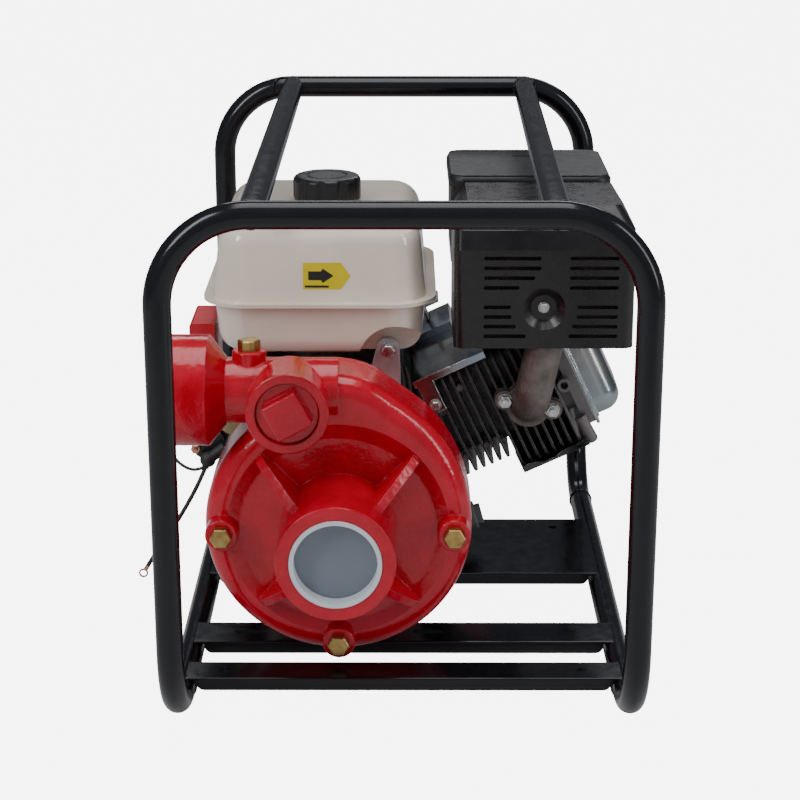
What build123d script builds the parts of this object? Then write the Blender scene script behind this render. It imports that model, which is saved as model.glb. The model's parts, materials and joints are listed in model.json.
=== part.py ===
from build123d import *
import math
import os

# Portable fire pump: a cast-iron centrifugal pump bolted to the output side of a single-cylinder
# petrol engine, both inside an open frame of bent tube. Millimetres, +Z up. The pump's suction
# faces -Y, its discharge -X. The origin is on the floor, midway between the two hoops.

# Frame
TUBE_R = 12.5
TUBE_WALL = 2.0
HOOP_X = 215.0
HOOP_Y = 350.0
HOOP_Z = 502.0
BEND_R = 82.0
RAIL_END_Y = 258.0
DECK_Z = 25.0
PLATE_T = 3.0
LIP_Z = 12.0
TOP_BAR_X = 132.0
TOP_BAR_REAR_X = 142.0

# Shared axis of the crankshaft and the pump
AXIS_X = -64.0
AXIS_Z = 157.0
PTO_Y = -38.0

# Pump
COVER_Y = -210.0
CASING_BACK_Y = -150.0
PLATE_BACK_Y = -138.0
NECK_Y = -298.0
RIM_R = 131.0
SPIRAL_R = 155.0
NECK_R = 57.0
PORT_BORE_R = 43.9
PORT_DEPTH = 40.0
OUTLET_Y = -182.5
OUTLET_Z = 292.0
OUTLET_FACE_X = -235.0
OUTLET_NECK_R = 32.0
DRAIN_PCD_R = 113.0
SIDE_PORT_X = -110.0
SIDE_PORT_Z = 287.0
SIDE_PORT_FACE_Y = -245.0
VENT_X = -149.0
CASING_WALL = 12.0
CASING_BOLT_R = 125.0
BRACKET_BOLT_R = 90.0

# Engine
CYL_ANGLE = 25.0
CYL_Y = 52.0
BORE_R = 44.0
CRANK_THROW = 32.0
FIN_PITCH = 9.4
FIN_T = 2.6
BLOCK_REAR_Y = 120.0
SHAFT_R = 17.5
FLYWHEEL_R = 104.0
FEET_X = 97.5
FEET_Y = (28.0, 133.0)
HANDLE_DIR = Vector(-0.2, 0, 0.98).normalized()
PULLEY_R = 62.0

STARTER_X, STARTER_Z = -172.0, 212.0
EXHAUST_X, EXHAUST_Z = 131.0, 226.5
EXHAUST_Y = -19.0
EXHAUST_TOP = (147.8, -37.9, 307.0)
MUFFLER_Z = 302.0
STUD_OFFSET = (25.0, -5.1)
GEAR_MODULE = 2.2
CAM_ANGLE = -65.0
CAM_DISTANCE = GEAR_MODULE * 30
CAM_PLACE = (
    AXIS_X + CAM_DISTANCE * math.cos(math.radians(CAM_ANGLE)),
    AXIS_Z + CAM_DISTANCE * math.sin(math.radians(CAM_ANGLE)),
)

INLET = (120.6, 248.6)
ELBOW_Y = 200.0
EAR_Y = -37.5
SOLENOID = (-208.0, 180.0)
TERMINALS = ((-221.0, 176.0), (-207.5, 167.0))
KEY_PLACE = (-214.5, 282.0)
AIR_BOX_X = (48.0, 224.0)
AIR_BOX_Y = (94.0, 248.0)
AIR_BOX_TOP_Z = 446.0

GROUPS = {
    "top_bars": ("top_bar_left", "top_bar_right"),
    "bottom_rails": ("bottom_rail_left", "bottom_rail_right"),
    "brass_plugs": ("drain_plugs", "vent_plug"),
    "pump_bolts": ("casing_bolts", "bracket_bolts"),
    "shaft_nuts": ("impeller_nut", "flywheel_nut"),
    "bearings_and_seat": ("main_bearings", "seal_seat"),
    "impeller_and_seal": ("impeller", "seal_ring"),
    "cover_bolts": ("guard_bolt", "tank_bolt", "shroud_bolt"),
    "engine_bolts": ("engine_mount_bolts", "exhaust_studs"),
    "intake_base": ("air_cleaner_base", "intake_elbow", "carburettor_spacer"),
    "air_cleaner_lid": ("air_cleaner_cover", "air_cleaner_knob"),
    "control_brackets": ("throttle_plate", "control_box_bracket"),
    "switch_box": ("control_box", "control_panel"),
    "oil_caps": ("oil_filler_cap", "oil_dipstick_cap"),
    "ignition_parts": ("ignition_coil", "spark_plug"),
}

# Muffler guard
GUARD_X = (51.0, 235.0)
GUARD_Y = (-60.0, 79.0)
GUARD_Z = (298.0, 442.0)
SHEET_T = 1.2
DIMPLE_X = 142.7
DIMPLE_Z = 339.5

# Fuel tank
TANK_X = (-208.5, 33.5)
TANK_Y = (-56.0, 219.0)
TANK_SEAM_Z = 341.0
TANK_TOP_Z = 424.0
TANK_BOTTOM_Z = 284.0
TANK_STEP_Y = 116.0
TANK_STEP_Z = 300.0
CAP_XY = (-82.3, 76.0)
TANK_EAR = (-16.5, 290.0)

# Free leads: the points of each route, straight runs joined by tangent arcs
BATTERY_LEAD_D = 4.6
BATTERY_LEAD = [
    (-210.5, -33, 158), (-216.5, -41, 145), (-225, -53, 130.5), (-236, -67, 114),
    (-247, -80, 100), (-257.2, -89, 87.2), (-267.5, -89, 70),
]
SWITCH_LEAD_D = 3.5
SWITCH_LEAD = [
    (-209.5, -26.5, 158), (-220.5, -25, 152), (-233, -22, 154.5), (-244, -16, 161.5),
    (-252, -6, 173), (-254, 6, 190), (-250, 20, 210), (-241, 34, 229), (-231, 44, 245),
    (-226, 48, 258),
]

parts = {}


def block(x0, x1, y0, y1, z0, z1):
    """Box between two corners."""
    return Pos((x0 + x1) / 2, (y0 + y1) / 2, (z0 + z1) / 2) * Box(x1 - x0, y1 - y0, z1 - z0)


def rod(start, end, radius):
    """Solid cylinder between two points."""
    start, end = Vector(start), Vector(end)
    plane = Plane(origin=start, z_dir=(end - start).normalized())
    return extrude(plane * Circle(radius), (end - start).length)


def rod_y(x, z, y0, y1, radius):
    """Solid cylinder along Y."""
    return rod((x, y0, z), (x, y1, z), radius)


def ring_y(x, z, y0, y1, outer, inner):
    """Ring along Y."""
    return rod_y(x, z, y0, y1, outer) - rod_y(x, z, y0, y1, inner)


def facing(y, x=AXIS_X, z=AXIS_Z):
    """Sketch plane facing -Y: local x is +X, local y is +Z, extrusion goes to -Y."""
    return Plane(origin=(x, y, z), x_dir=(1, 0, 0), z_dir=(0, -1, 0))


# Sketch plane across the inclined cylinder: local x is +Y, local y points away from the floor
# side of the cylinder, and local z runs from the crankshaft towards the cylinder head.
CYL = Plane(
    origin=(AXIS_X, CYL_Y, AXIS_Z),
    x_dir=(0, 1, 0),
    z_dir=(math.cos(math.radians(CYL_ANGLE)), 0, math.sin(math.radians(CYL_ANGLE))),
)


def along_cyl(s, t):
    """World X and Z of the place s along the cylinder axis and t across it."""
    point = CYL.from_local_coords(Vector(0, t, s))
    return point.X, point.Z


def cyl_block(y0, y1, t0, t1, s0, s1, corner=0.0):
    """Box in the cylinder's own directions, with rounded long edges if corner is given."""
    size = (y1 - y0, t1 - t0)
    outline = RectangleRounded(*size, corner) if corner else Rectangle(*size)
    place = Pos((y0 + y1) / 2 - CYL_Y, (t0 + t1) / 2, s0)
    return CYL * (place * extrude(outline, s1 - s0))


def hex_head(place, across_flats, height, flange_r=0.0, flange_t=1.6):
    """Hexagon head standing on a plane, with a flange under it if flange_r is given."""
    head = extrude(RegularPolygon(across_flats / 2, 6, major_radius=False), height)
    top = head.faces().sort_by(Axis.Z)[-1]
    head = chamfer(top.edges(), across_flats * 0.06)
    if flange_r:
        head = head + extrude(Circle(flange_r), flange_t)
    return place * head


def bolt(place, shank_r, shank_len, across_flats, height, flange_r=0.0):
    """Bolt whose head stands on the plane and whose shank goes the other way."""
    shank = place * extrude(Circle(shank_r), -shank_len)
    return hex_head(place, across_flats, height, flange_r) + shank


def swept(points, section, radius):
    """Section swept along straight runs joined by tangent arcs."""
    path = FilletPolyline(*points, radius=radius)
    start = Plane(origin=path @ 0, z_dir=path % 0)
    return sweep(start * section, path)


def lead_radii(points):
    """Arc radius at each inner point of a lead: as large as its two runs allow."""
    radii = []
    for before, here, after in zip(points, points[1:], points[2:]):
        run_in = Vector(*here) - Vector(*before)
        run_out = Vector(*after) - Vector(*here)
        half_turn = math.radians(run_in.get_angle(run_out) / 2)
        radii.append(0.45 * min(run_in.length, run_out.length) / math.tan(half_turn))
    return radii


def lead(points, diameter):
    """Solid of a free lead; prints its radii and checks its volume."""
    radii = lead_radii(points)
    path = FilletPolyline(*points, radius=radii)
    start = Plane(origin=path @ 0, z_dir=path % 0)
    solid = sweep(start * Circle(diameter / 2), path)
    expected = math.pi * diameter**2 / 4 * path.length
    print("lead", round(path.length, 1), "radii", [round(r, 1) for r in radii],
          "volume ratio", round(solid.volume / expected, 4))
    return solid


# ---------------------------------------------------------------- frame


def hoop(side, section):
    """Bent bar: bottom leg, upright, top, upright, bottom leg. side is -1 in front, 1 behind."""
    y, leg = side * HOOP_Y, side * RAIL_END_Y
    points = [
        (-HOOP_X, leg, TUBE_R), (-HOOP_X, y, TUBE_R), (-HOOP_X, y, HOOP_Z),
        (HOOP_X, y, HOOP_Z), (HOOP_X, y, TUBE_R), (HOOP_X, leg, TUBE_R),
    ]
    return swept(points, section, BEND_R)


def top_bar(front_x, rear_x):
    """Straight bar between the hoops' tops, its ends coped to the hoops' tube."""
    start, end = (front_x, -HOOP_Y, HOOP_Z), (rear_x, HOOP_Y, HOOP_Z)
    bar = rod(start, end, TUBE_R) - rod(start, end, TUBE_R - TUBE_WALL)
    for side in (-1, 1):
        bar -= hoop(side, Circle(TUBE_R))
    return bar


def rail(x):
    """Bottom rail between the two hoops' legs."""
    ends = (x, -RAIL_END_Y, TUBE_R), (x, RAIL_END_Y, TUBE_R)
    return rod(*ends, TUBE_R) - rod(*ends, TUBE_R - TUBE_WALL)


def channel(y0, y1):
    """Folded plate across the rails, with a lip along each long edge and coped ends."""
    half = HOOP_X - 3
    lip_half = HOOP_X - TUBE_R - 1
    plate = block(-half, half, y0, y1, DECK_Z - PLATE_T, DECK_Z)
    outer = [e for e in plate.edges().filter_by(Axis.X) if e.center().Z > DECK_Z - 1]
    plate = fillet(outer, 2.0)
    for y in (y0, y1 - PLATE_T):
        lip = block(-lip_half, lip_half, y, y + PLATE_T, LIP_Z, DECK_Z - PLATE_T)
        ends = lip.edges().filter_by(Axis.Y).group_by(Axis.Z)[0]
        plate += fillet(ends, 8)
    for x in (-HOOP_X, HOOP_X):
        plate -= rod((x, -HOOP_Y, TUBE_R), (x, HOOP_Y, TUBE_R), TUBE_R)
    return plate


def hole_z(x, y, radius):
    """Cutter for a round hole down through the deck."""
    return rod((x, y, DECK_Z - 20), (x, y, DECK_Z + 5), radius)


def slot_z(x, y, length, width):
    """Cutter for a slot along X down through the deck."""
    return Pos(x, y, DECK_Z - 20) * extrude(SlotOverall(length, width), 25)


def build_frame():
    tube_section = Circle(TUBE_R) - Circle(TUBE_R - TUBE_WALL)
    parts["front_hoop"] = hoop(-1, tube_section)
    parts["rear_hoop"] = hoop(1, tube_section)
    parts["top_bar_left"] = top_bar(-TOP_BAR_X, -TOP_BAR_X)
    parts["top_bar_right"] = top_bar(TOP_BAR_X, TOP_BAR_REAR_X)
    parts["bottom_rail_left"] = rail(-HOOP_X)
    parts["bottom_rail_right"] = rail(HOOP_X)
    front = channel(-265, -227)
    for x in (-174, 174):
        front -= hole_z(x, -246, 5)
    parts["front_crossbar"] = front
    slotted = channel(-180, -132)
    for x in (-154.75, 22.75):
        slotted -= slot_z(x, -156, 34, 9)
    parts["slotted_crossbar"] = slotted
    plate = channel(-2, 163)
    for x in (-172.6, 172.6):
        plate -= hole_z(x, 135.6, 5)
    for x in (AXIS_X - FEET_X, AXIS_X + FEET_X):
        for y in FEET_Y:
            plate -= hole_z(x, y, 5)
    parts["engine_plate"] = plate


# ---------------------------------------------------------------- pump


def volute_outline(inset=0.0):
    """Face of the volute's outline on a plane facing -Y, centred on the pump axis."""
    rim, top = RIM_R - inset, SPIRAL_R - inset
    spiral = []
    for degrees, growth in ((0, 0), (30, 2), (50, 6), (70, 13), (90, SPIRAL_R - RIM_R)):
        angle = math.radians(degrees)
        radius = rim + growth
        spiral.append((radius * math.cos(angle), radius * math.sin(angle)))
    side_x = inset - 62
    side_z = math.sqrt(rim**2 - side_x**2)
    low = rim * math.sqrt(0.5)
    edges = [
        Spline(*spiral, tangents=[(0, 1), (-1, 0.1)]),
        Line((0, top), (side_x, top)),
        Line((side_x, top), (side_x, side_z)),
        ThreePointArc((side_x, side_z), (-low, -low), (rim, 0)),
    ]
    face = make_face(edges)
    corners = [v for v in face.vertices() if v.X < side_x + 1]
    return fillet(corners, 20 - inset)


def casing_rib(angle):
    """Web from the suction neck out to the rim, in the plane at this angle."""
    outline = Polyline(
        (50, -198), (50, -262), (60, -258), (98, -226), (107, -216), (107, -198), close=True
    )
    web = extrude(Plane.XY * make_face(outline), 4.5, both=True)
    outer = web.edges().filter_by(Axis.Z).sort_by(Axis.X)[-3:]
    web = fillet(outer, 3)
    # Local x is radial and local y is the world's Y.
    radial = (math.cos(math.radians(angle)), 0, math.sin(math.radians(angle)))
    across = Vector(*radial).cross(Vector(0, 1, 0))
    place = Plane(origin=(AXIS_X, 0, AXIS_Z), x_dir=radial, z_dir=across)
    return place * web


def drain_places():
    """X and Z of the three drain plugs."""
    return [(AXIS_X + DRAIN_PCD_R * math.cos(math.radians(a)),
             AXIS_Z + DRAIN_PCD_R * math.sin(math.radians(a))) for a in (180, 270, 0)]


def casing_bolt_places():
    """X and Z of the casing bolts on the back plate."""
    angles = (-80, -45, -10, 25, 205, 240)
    return [(AXIS_X + CASING_BOLT_R * math.cos(math.radians(a)),
             AXIS_Z + CASING_BOLT_R * math.sin(math.radians(a))) for a in angles]


def make_casing():
    """Pump casing in one casting: volute, suction neck, discharge socket and side port."""
    body = extrude(facing(CASING_BACK_Y) * volute_outline(), CASING_BACK_Y - COVER_Y)
    front_edges = body.faces().sort_by(Axis.Y)[0].outer_wire().edges()
    body = fillet(front_edges, 19)
    # Dished front face inside the rim
    dish = Polyline(
        (COVER_Y + 5, 0), (COVER_Y + 5, 95), (COVER_Y - 3, 117), (COVER_Y - 3, 0), close=True,
    )
    dish = revolve(make_face(Plane.XY * dish), Axis.X)
    dish = fillet(dish.edges().filter_by(GeomType.CIRCLE).sort_by(Axis.X)[-1], 12)
    body -= Pos(AXIS_X, 0, AXIS_Z) * (Rot(0, 0, 90) * dish)
    neck = rod_y(AXIS_X, AXIS_Z, COVER_Y + 20, NECK_Y, NECK_R)
    neck = fillet(neck.edges().filter_by(GeomType.CIRCLE).sort_by(Axis.Y)[0], 1.5)
    body += neck
    for angle in (45, 135, 225, 315):
        body += casing_rib(angle)
    for x, z in drain_places():
        boss = rod_y(x, z, COVER_Y + 12, COVER_Y - 16, 16)
        body += fillet(boss.edges().filter_by(GeomType.CIRCLE).sort_by(Axis.Y)[0], 2)
    # Blank raised pad above the neck
    body += block(AXIS_X - 42, AXIS_X + 42, COVER_Y + 7.2, COVER_Y + 9, AXIS_Z + 64, AXIS_Z + 92)
    # Discharge: threaded socket, cone and neck
    start = Plane(origin=(OUTLET_FACE_X, OUTLET_Y, OUTLET_Z), z_dir=(1, 0, 0))
    profile = Polyline(
        (0, 0), (0, 52), (2, 54), (47, 54), (64, OUTLET_NECK_R), (172, OUTLET_NECK_R), (172, 0),
        close=True,
    )
    outlet = revolve(make_face(Plane.XY * profile), Axis.X)
    body += Pos(OUTLET_FACE_X, OUTLET_Y, OUTLET_Z) * outlet
    boss = rod_y(SIDE_PORT_X, SIDE_PORT_Z, OUTLET_Y, SIDE_PORT_FACE_Y, 39.5)
    body += fillet(boss.edges().filter_by(GeomType.CIRCLE).sort_by(Axis.Y)[0], 2)
    vent = rod((VENT_X, OUTLET_Y, OUTLET_Z), (VENT_X, OUTLET_Y, 333), 16.5)
    body += fillet(vent.edges().filter_by(GeomType.CIRCLE).sort_by(Axis.Z)[-1], 2)
    # Waterways
    body -= extrude(facing(CASING_BACK_Y) * volute_outline(CASING_WALL), 42)
    body -= rod_y(AXIS_X, AXIS_Z, NECK_Y, NECK_Y + 38, 44)
    body -= rod_y(AXIS_X, AXIS_Z, NECK_Y, COVER_Y + 25, 41)
    outlet_x = OUTLET_FACE_X
    body -= rod((outlet_x, OUTLET_Y, OUTLET_Z), (outlet_x + PORT_DEPTH, OUTLET_Y, OUTLET_Z),
                PORT_BORE_R)
    body -= rod((outlet_x, OUTLET_Y, OUTLET_Z), (AXIS_X - 10, OUTLET_Y, OUTLET_Z), 24)
    body -= rod_y(SIDE_PORT_X, SIDE_PORT_Z, SIDE_PORT_FACE_Y, SIDE_PORT_FACE_Y + 30, 30.6)
    body -= rod_y(SIDE_PORT_X, SIDE_PORT_Z, SIDE_PORT_FACE_Y, OUTLET_Y, 26)
    body -= rod((VENT_X, OUTLET_Y, OUTLET_Z), (VENT_X, OUTLET_Y, 334), 8)
    for x, z in drain_places():
        body -= rod_y(x, z, COVER_Y - 17, COVER_Y + 20, 7)
    for x, z in casing_bolt_places():
        body -= rod_y(x, z, CASING_BACK_Y - 20, CASING_BACK_Y + 1, 4)
    return body


def make_bracket():
    """Adapter from the engine to the pump: back plate, cone with two windows, engine flange."""
    plate = extrude(facing(PLATE_BACK_Y) * volute_outline(), PLATE_BACK_Y - CASING_BACK_Y)
    # The profile's first value is the way from the engine face, its second the radius.
    shell = Polyline(
        (PTO_Y, 66), (PTO_Y, 98), (PTO_Y - 12, 98), (PTO_Y - 12, 80), (PTO_Y - 15, 78),
        (PLATE_BACK_Y + 8, 104), (PLATE_BACK_Y, 114), (PLATE_BACK_Y, 98), (PTO_Y - 16, 68),
        close=True,
    )
    spun = revolve(make_face(Plane.XY * shell), Axis.X)
    spun = Pos(AXIS_X, 0, AXIS_Z) * (Rot(0, 0, 90) * spun)
    body = plate + spun
    for side in (-1, 1):
        body -= block(AXIS_X + side * 85 - 50, AXIS_X + side * 85 + 50, -118, -62,
                      AXIS_Z - 32, AXIS_Z + 32)
    body -= rod_y(AXIS_X, AXIS_Z, CASING_BACK_Y - 1, PLATE_BACK_Y + 1, 26)
    for x, z in casing_bolt_places():
        body -= rod_y(x, z, CASING_BACK_Y - 1, PLATE_BACK_Y + 1, 4)
    for x, z in bracket_bolt_places():
        body -= rod_y(x, z, PTO_Y - 13, PTO_Y + 1, 5)
    return body


def bracket_bolt_places():
    """X and Z of the four bolts that hold the bracket to the engine."""
    return [(AXIS_X + BRACKET_BOLT_R * math.cos(math.radians(a)),
             AXIS_Z + BRACKET_BOLT_R * math.sin(math.radians(a))) for a in (20, 160, 200, 340)]


def make_impeller():
    """Closed impeller: hub, two shrouds and six backward-curved vanes."""
    back = rod_y(AXIS_X, AXIS_Z, -160, -165, 100)
    front = ring_y(AXIS_X, AXIS_Z, -182, -186, 100, 38)
    hub = rod_y(AXIS_X, AXIS_Z, -158, -190, 24)
    body = back + front + hub
    vane = extrude(facing(-164) * (
        Pos(20, 42) * make_face([
            ThreePointArc((0, 0), (34, -10), (62, -44)),
            Line((62, -44), (65, -41)),
            ThreePointArc((65, -41), (36, -6), (0, 4)),
            Line((0, 4), (0, 0)),
        ])), 19)
    axis = Axis((AXIS_X, 0, AXIS_Z), (0, 1, 0))
    for i in range(6):
        body += vane.rotate(axis, 60 * i)
    body -= rod_y(AXIS_X, AXIS_Z, -150, -200, SHAFT_R)
    return body


def make_port_plug():
    """Round threaded plug with a square head, turned as it was last tightened."""
    disc = rod_y(SIDE_PORT_X, SIDE_PORT_Z, SIDE_PORT_FACE_Y + 4, SIDE_PORT_FACE_Y + 26, 30.6)
    disc = chamfer(disc.edges().filter_by(GeomType.CIRCLE).sort_by(Axis.Y)[0], 1.5)
    head = extrude(Rot(0, 0, 28.5) * RectangleRounded(36, 36, 2), 14)
    head = chamfer(head.faces().sort_by(Axis.Z)[-1].edges(), 1.2)
    return disc + facing(SIDE_PORT_FACE_Y + 4, SIDE_PORT_X, SIDE_PORT_Z) * head


def make_suction_cap():
    """Plastic transport plug, a cup that stands in the suction thread."""
    cup = rod_y(AXIS_X, AXIS_Z, NECK_Y - 1, NECK_Y + 24, 43.8)
    return cup - rod_y(AXIS_X, AXIS_Z, NECK_Y - 1, NECK_Y + 14, 39.5)


def build_pump():
    parts["pump_casing"] = make_casing()
    parts["pump_bracket"] = make_bracket()
    parts["impeller"] = make_impeller()
    nut = hex_head(facing(-190), 30, 6)
    parts["impeller_nut"] = nut - rod_y(AXIS_X, AXIS_Z, -189, -200, 1.5)
    seat = ring_y(AXIS_X, AXIS_Z, -150, -140, 26, 18.2)
    parts["seal_seat"] = seat
    parts["seal_ring"] = ring_y(AXIS_X, AXIS_Z, -157.6, -151, 23, SHAFT_R)
    plugs = []
    for x, z in drain_places():
        plugs.append(bolt(facing(COVER_Y - 16, x, z), 7, 18, 19, 9))
    parts["drain_plugs"] = Compound(plugs)
    top = Plane(origin=(VENT_X, OUTLET_Y, 333), x_dir=(1, 0, 0), z_dir=(0, 0, 1))
    parts["vent_plug"] = bolt(top, 8, 14, 19, 10)
    parts["port_plug"] = make_port_plug()
    parts["suction_cap"] = make_suction_cap()
    bolts = []
    for x, z in casing_bolt_places():
        back = Plane(origin=(x, PLATE_BACK_Y, z), x_dir=(1, 0, 0), z_dir=(0, 1, 0))
        bolts.append(bolt(back, 4, 30, 13, 6))
    parts["casing_bolts"] = Compound(bolts)
    bolts = [bolt(facing(PTO_Y - 12, x, z), 5, 30, 17, 7) for x, z in bracket_bolt_places()]
    parts["bracket_bolts"] = Compound(bolts)


# ---------------------------------------------------------------- engine block


def crankcase_outline(grow=0.0):
    """Outline of the crankcase on a plane facing -Y, centred on the crankshaft."""
    half, top, bottom = 84 + grow, 70 + grow, -118 - grow
    outline = Pos(0, (top + bottom) / 2) * Rectangle(2 * half, top - bottom)
    upper = outline.vertices().group_by(Axis.Y)[-1]
    outline = fillet(upper, 70 + grow)
    lower = outline.vertices().group_by(Axis.Y)[0]
    return fillet(lower, 14)


def filler_ends(side):
    """Root and mouth of the oil filler neck on one side of the crankcase."""
    return (AXIS_X + side * 70, 80, 42), (AXIS_X + side * 136, 80, 60)


def make_block():
    """Crankcase and finned cylinder barrel in one casting."""
    length = BLOCK_REAR_Y - (PTO_Y + 30)
    body = extrude(facing(BLOCK_REAR_Y) * crankcase_outline(), length)
    barrel = cyl_block(CYL_Y - 52, CYL_Y + 52, -52, 45, 50, 164, 20)
    body += barrel
    for i in range(8):
        s = 97 + FIN_PITCH * i
        body += cyl_block(CYL_Y - 67, CYL_Y + 67, -72, 49, s - FIN_T, s, 16)
    body += block(AXIS_X - 112, AXIS_X + 112, 10, 118, DECK_Z, DECK_Z + 13)
    for side in (-1, 1):
        x = AXIS_X + side * FEET_X
        body += block(x - 14.5, x + 14.5, 110, 150, DECK_Z, DECK_Z + 13)
    # Starter lug and oil filler necks
    body += block(-196, -130, 106, 118, 186, 236)
    for side in (-1, 1):
        body += rod(*filler_ends(side), 14)
    body -= extrude(facing(BLOCK_REAR_Y - 12) * crankcase_outline(-8), length)
    body -= rod(along(40, 0), along(170, 0), BORE_R)
    body -= rod_y(AXIS_X, AXIS_Z, 100, 125, 36)
    body -= rod_y(STARTER_X, STARTER_Z, 100, 120, 21)
    for x in (AXIS_X - FEET_X, AXIS_X + FEET_X):
        for y in FEET_Y:
            body -= rod((x, y, DECK_Z - 1), (x, y, DECK_Z + 14), 5)
    for side in (-1, 1):
        body -= rod(*filler_ends(side), 9)
    x, z = along_cyl(116, 19)
    body -= rod_y(x, z, CYL_Y - 70, CYL_Y - 50, 3)
    return body


def along(s, t, y=CYL_Y):
    """World point at s along the cylinder axis and t across it."""
    x, z = along_cyl(s, t)
    return (x, y, z)


def stud_places():
    """X and Z of the two exhaust studs."""
    return [(EXHAUST_X + side * STUD_OFFSET[0], EXHAUST_Z + side * STUD_OFFSET[1])
            for side in (-1, 1)]


def make_cover():
    """Crankcase cover on the output side, with the pilot that the pump bracket sits on."""
    cover = extrude(facing(PTO_Y + 30) * crankcase_outline(), 18)
    cover += rod_y(AXIS_X, AXIS_Z, PTO_Y, PTO_Y + 20, 98)
    trim = extrude(facing(PTO_Y + 30) * crankcase_outline(14), 40)
    cover = cover & trim
    cover -= extrude(facing(PTO_Y + 30) * crankcase_outline(-8), 16)
    cover += rod_y(AXIS_X, AXIS_Z, PTO_Y, PTO_Y + 26, 46)
    cover -= rod_y(AXIS_X, AXIS_Z, PTO_Y - 1, PTO_Y + 5, 20)
    cover -= rod_y(AXIS_X, AXIS_Z, PTO_Y + 5, PTO_Y + 31, 36)
    for x, z in bracket_bolt_places():
        cover -= rod_y(x, z, PTO_Y - 1, PTO_Y + 20, 5)
    return cover


def make_head():
    """Cylinder head: core, fins, exhaust pad at the front and inlet pad behind."""
    body = cyl_block(CYL_Y - 48, CYL_Y + 48, -56, 45, 164, 255, 12)
    for i in range(8):
        s = 174 + FIN_PITCH * i
        body += cyl_block(CYL_Y - 67, CYL_Y + 67, -88, 49, s - FIN_T, s, 16)
    body += cyl_block(CYL_Y - 55, CYL_Y + 55, -78, 48, 250, 262, 16)
    body += rod_y(EXHAUST_X, EXHAUST_Z, EXHAUST_Y, CYL_Y - 40, 25)
    for x, z in stud_places():
        body += rod_y(x, z, EXHAUST_Y, CYL_Y - 40, 11)
    x, z = along_cyl(206, 5)
    body += rod_y(x, z, CYL_Y + 40, CYL_Y + 71, 24)
    # Threaded boss beside the exhaust pad
    boss_x, boss_z = along_cyl(247.8, -19.4)
    body += rod_y(boss_x, boss_z, CYL_Y - 68, CYL_Y - 40, 7.4)
    body -= rod_y(boss_x, boss_z, CYL_Y - 69, CYL_Y - 56, 4)
    body -= rod_y(EXHAUST_X, EXHAUST_Z, EXHAUST_Y - 1, CYL_Y - 20, 15)
    body -= rod_y(x, z, CYL_Y + 20, CYL_Y + 72, 14)
    for sx, sz in stud_places():
        body -= rod_y(sx, sz, EXHAUST_Y - 1, EXHAUST_Y + 16, 4)
    body -= rod(*spark_plug_line(0, 60), 8)
    lug = rod(along(249, -60, -8), along(251, -92, -8), 6.5)
    body += fillet(lug.faces().sort_by(Axis.Z)[0].edges(), 4)
    # Combustion chamber
    body -= rod(along(163, 0), along(170, 0), BORE_R - 4)
    return body


def spark_plug_line(start, end):
    """Two world points on the spark plug's axis, from inside the head to behind it."""
    root = Vector(*along(205, -40, CYL_Y + 40))
    toward = (Vector(*along(214, -45, CYL_Y + 90)) - root).normalized()
    return root + toward * start, root + toward * end


def make_valve_cover():
    """Pressed valve cover with a flange."""
    flange = extrude(RectangleRounded(110, 131, 20), 3)
    dome = extrude(RectangleRounded(96, 117, 24), 35)
    dome = fillet(dome.faces().sort_by(Axis.Z)[-1].edges(), 19)
    inner = extrude(RectangleRounded(93, 114, 22.5), 33.5)
    inner = fillet(inner.faces().sort_by(Axis.Z)[-1].edges(), 17.5)
    bead = extrude(RectangleRounded(100, 121, 22), 5)
    return CYL * (Pos(0, -17.5, 262) * (flange + bead + dome - inner))


def make_shroud():
    """Plated sheet on top of the cylinder, folded down in front to a bolted leg."""
    top = cyl_block(CYL_Y - 69, BLOCK_REAR_Y - 0.5, 50, 51.5, 104, 186)
    # Step up over the blower housing's duct
    riser = cyl_block(BLOCK_REAR_Y - 2, BLOCK_REAR_Y - 0.5, 50, 60.5, 104, 155)
    over = cyl_block(BLOCK_REAR_Y - 2, 199, 59, 60.5, 110, 155)
    over -= cyl_block(150, 195, 58, 62, 127, 131.5)
    lip = cyl_block(CYL_Y - 69, CYL_Y - 67.5, 44, 51.5, 104, 186)
    leg = cyl_block(CYL_Y - 69, CYL_Y - 67.5, 10, 45, 107, 125)
    body = top + riser + over + lip + leg
    x, z = along_cyl(116, 19)
    return body - rod_y(x, z, CYL_Y - 70, CYL_Y - 60, 3.2)


def make_elbow():
    """Cast exhaust elbow: flange on the head, bend and stub up into the muffler."""
    points = [(EXHAUST_X, EXHAUST_Y, EXHAUST_Z), (EXHAUST_X, EXHAUST_Y - 21.5, EXHAUST_Z),
              EXHAUST_TOP]
    path = FilletPolyline(*points, radius=20.5)
    start = Plane(origin=path @ 0, z_dir=path % 0)
    pipe = sweep(start * Circle(19.5), path)
    bore = sweep(start * Circle(15), path)
    flange = rod_y(EXHAUST_X, EXHAUST_Z, EXHAUST_Y, EXHAUST_Y - 9, 24)
    for x, z in stud_places():
        flange += rod_y(x, z, EXHAUST_Y, EXHAUST_Y - 9, 10.5)
    angle = math.degrees(math.atan2(STUD_OFFSET[1], STUD_OFFSET[0]))
    bar = extrude(Rot(0, 0, angle) * Rectangle(49.6, 21), 9)
    flange += facing(EXHAUST_Y, EXHAUST_X, EXHAUST_Z) * bar
    body = pipe + flange - bore
    body -= block(EXHAUST_X - 40, EXHAUST_X + 60, -80, 10, MUFFLER_Z, MUFFLER_Z + 20)
    for x, z in stud_places():
        body -= rod_y(x, z, EXHAUST_Y + 1, EXHAUST_Y - 10, 4.2)
        body -= rod_y(x, z, EXHAUST_Y - 9, EXHAUST_Y - 45, 8.2)
    return body


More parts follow.
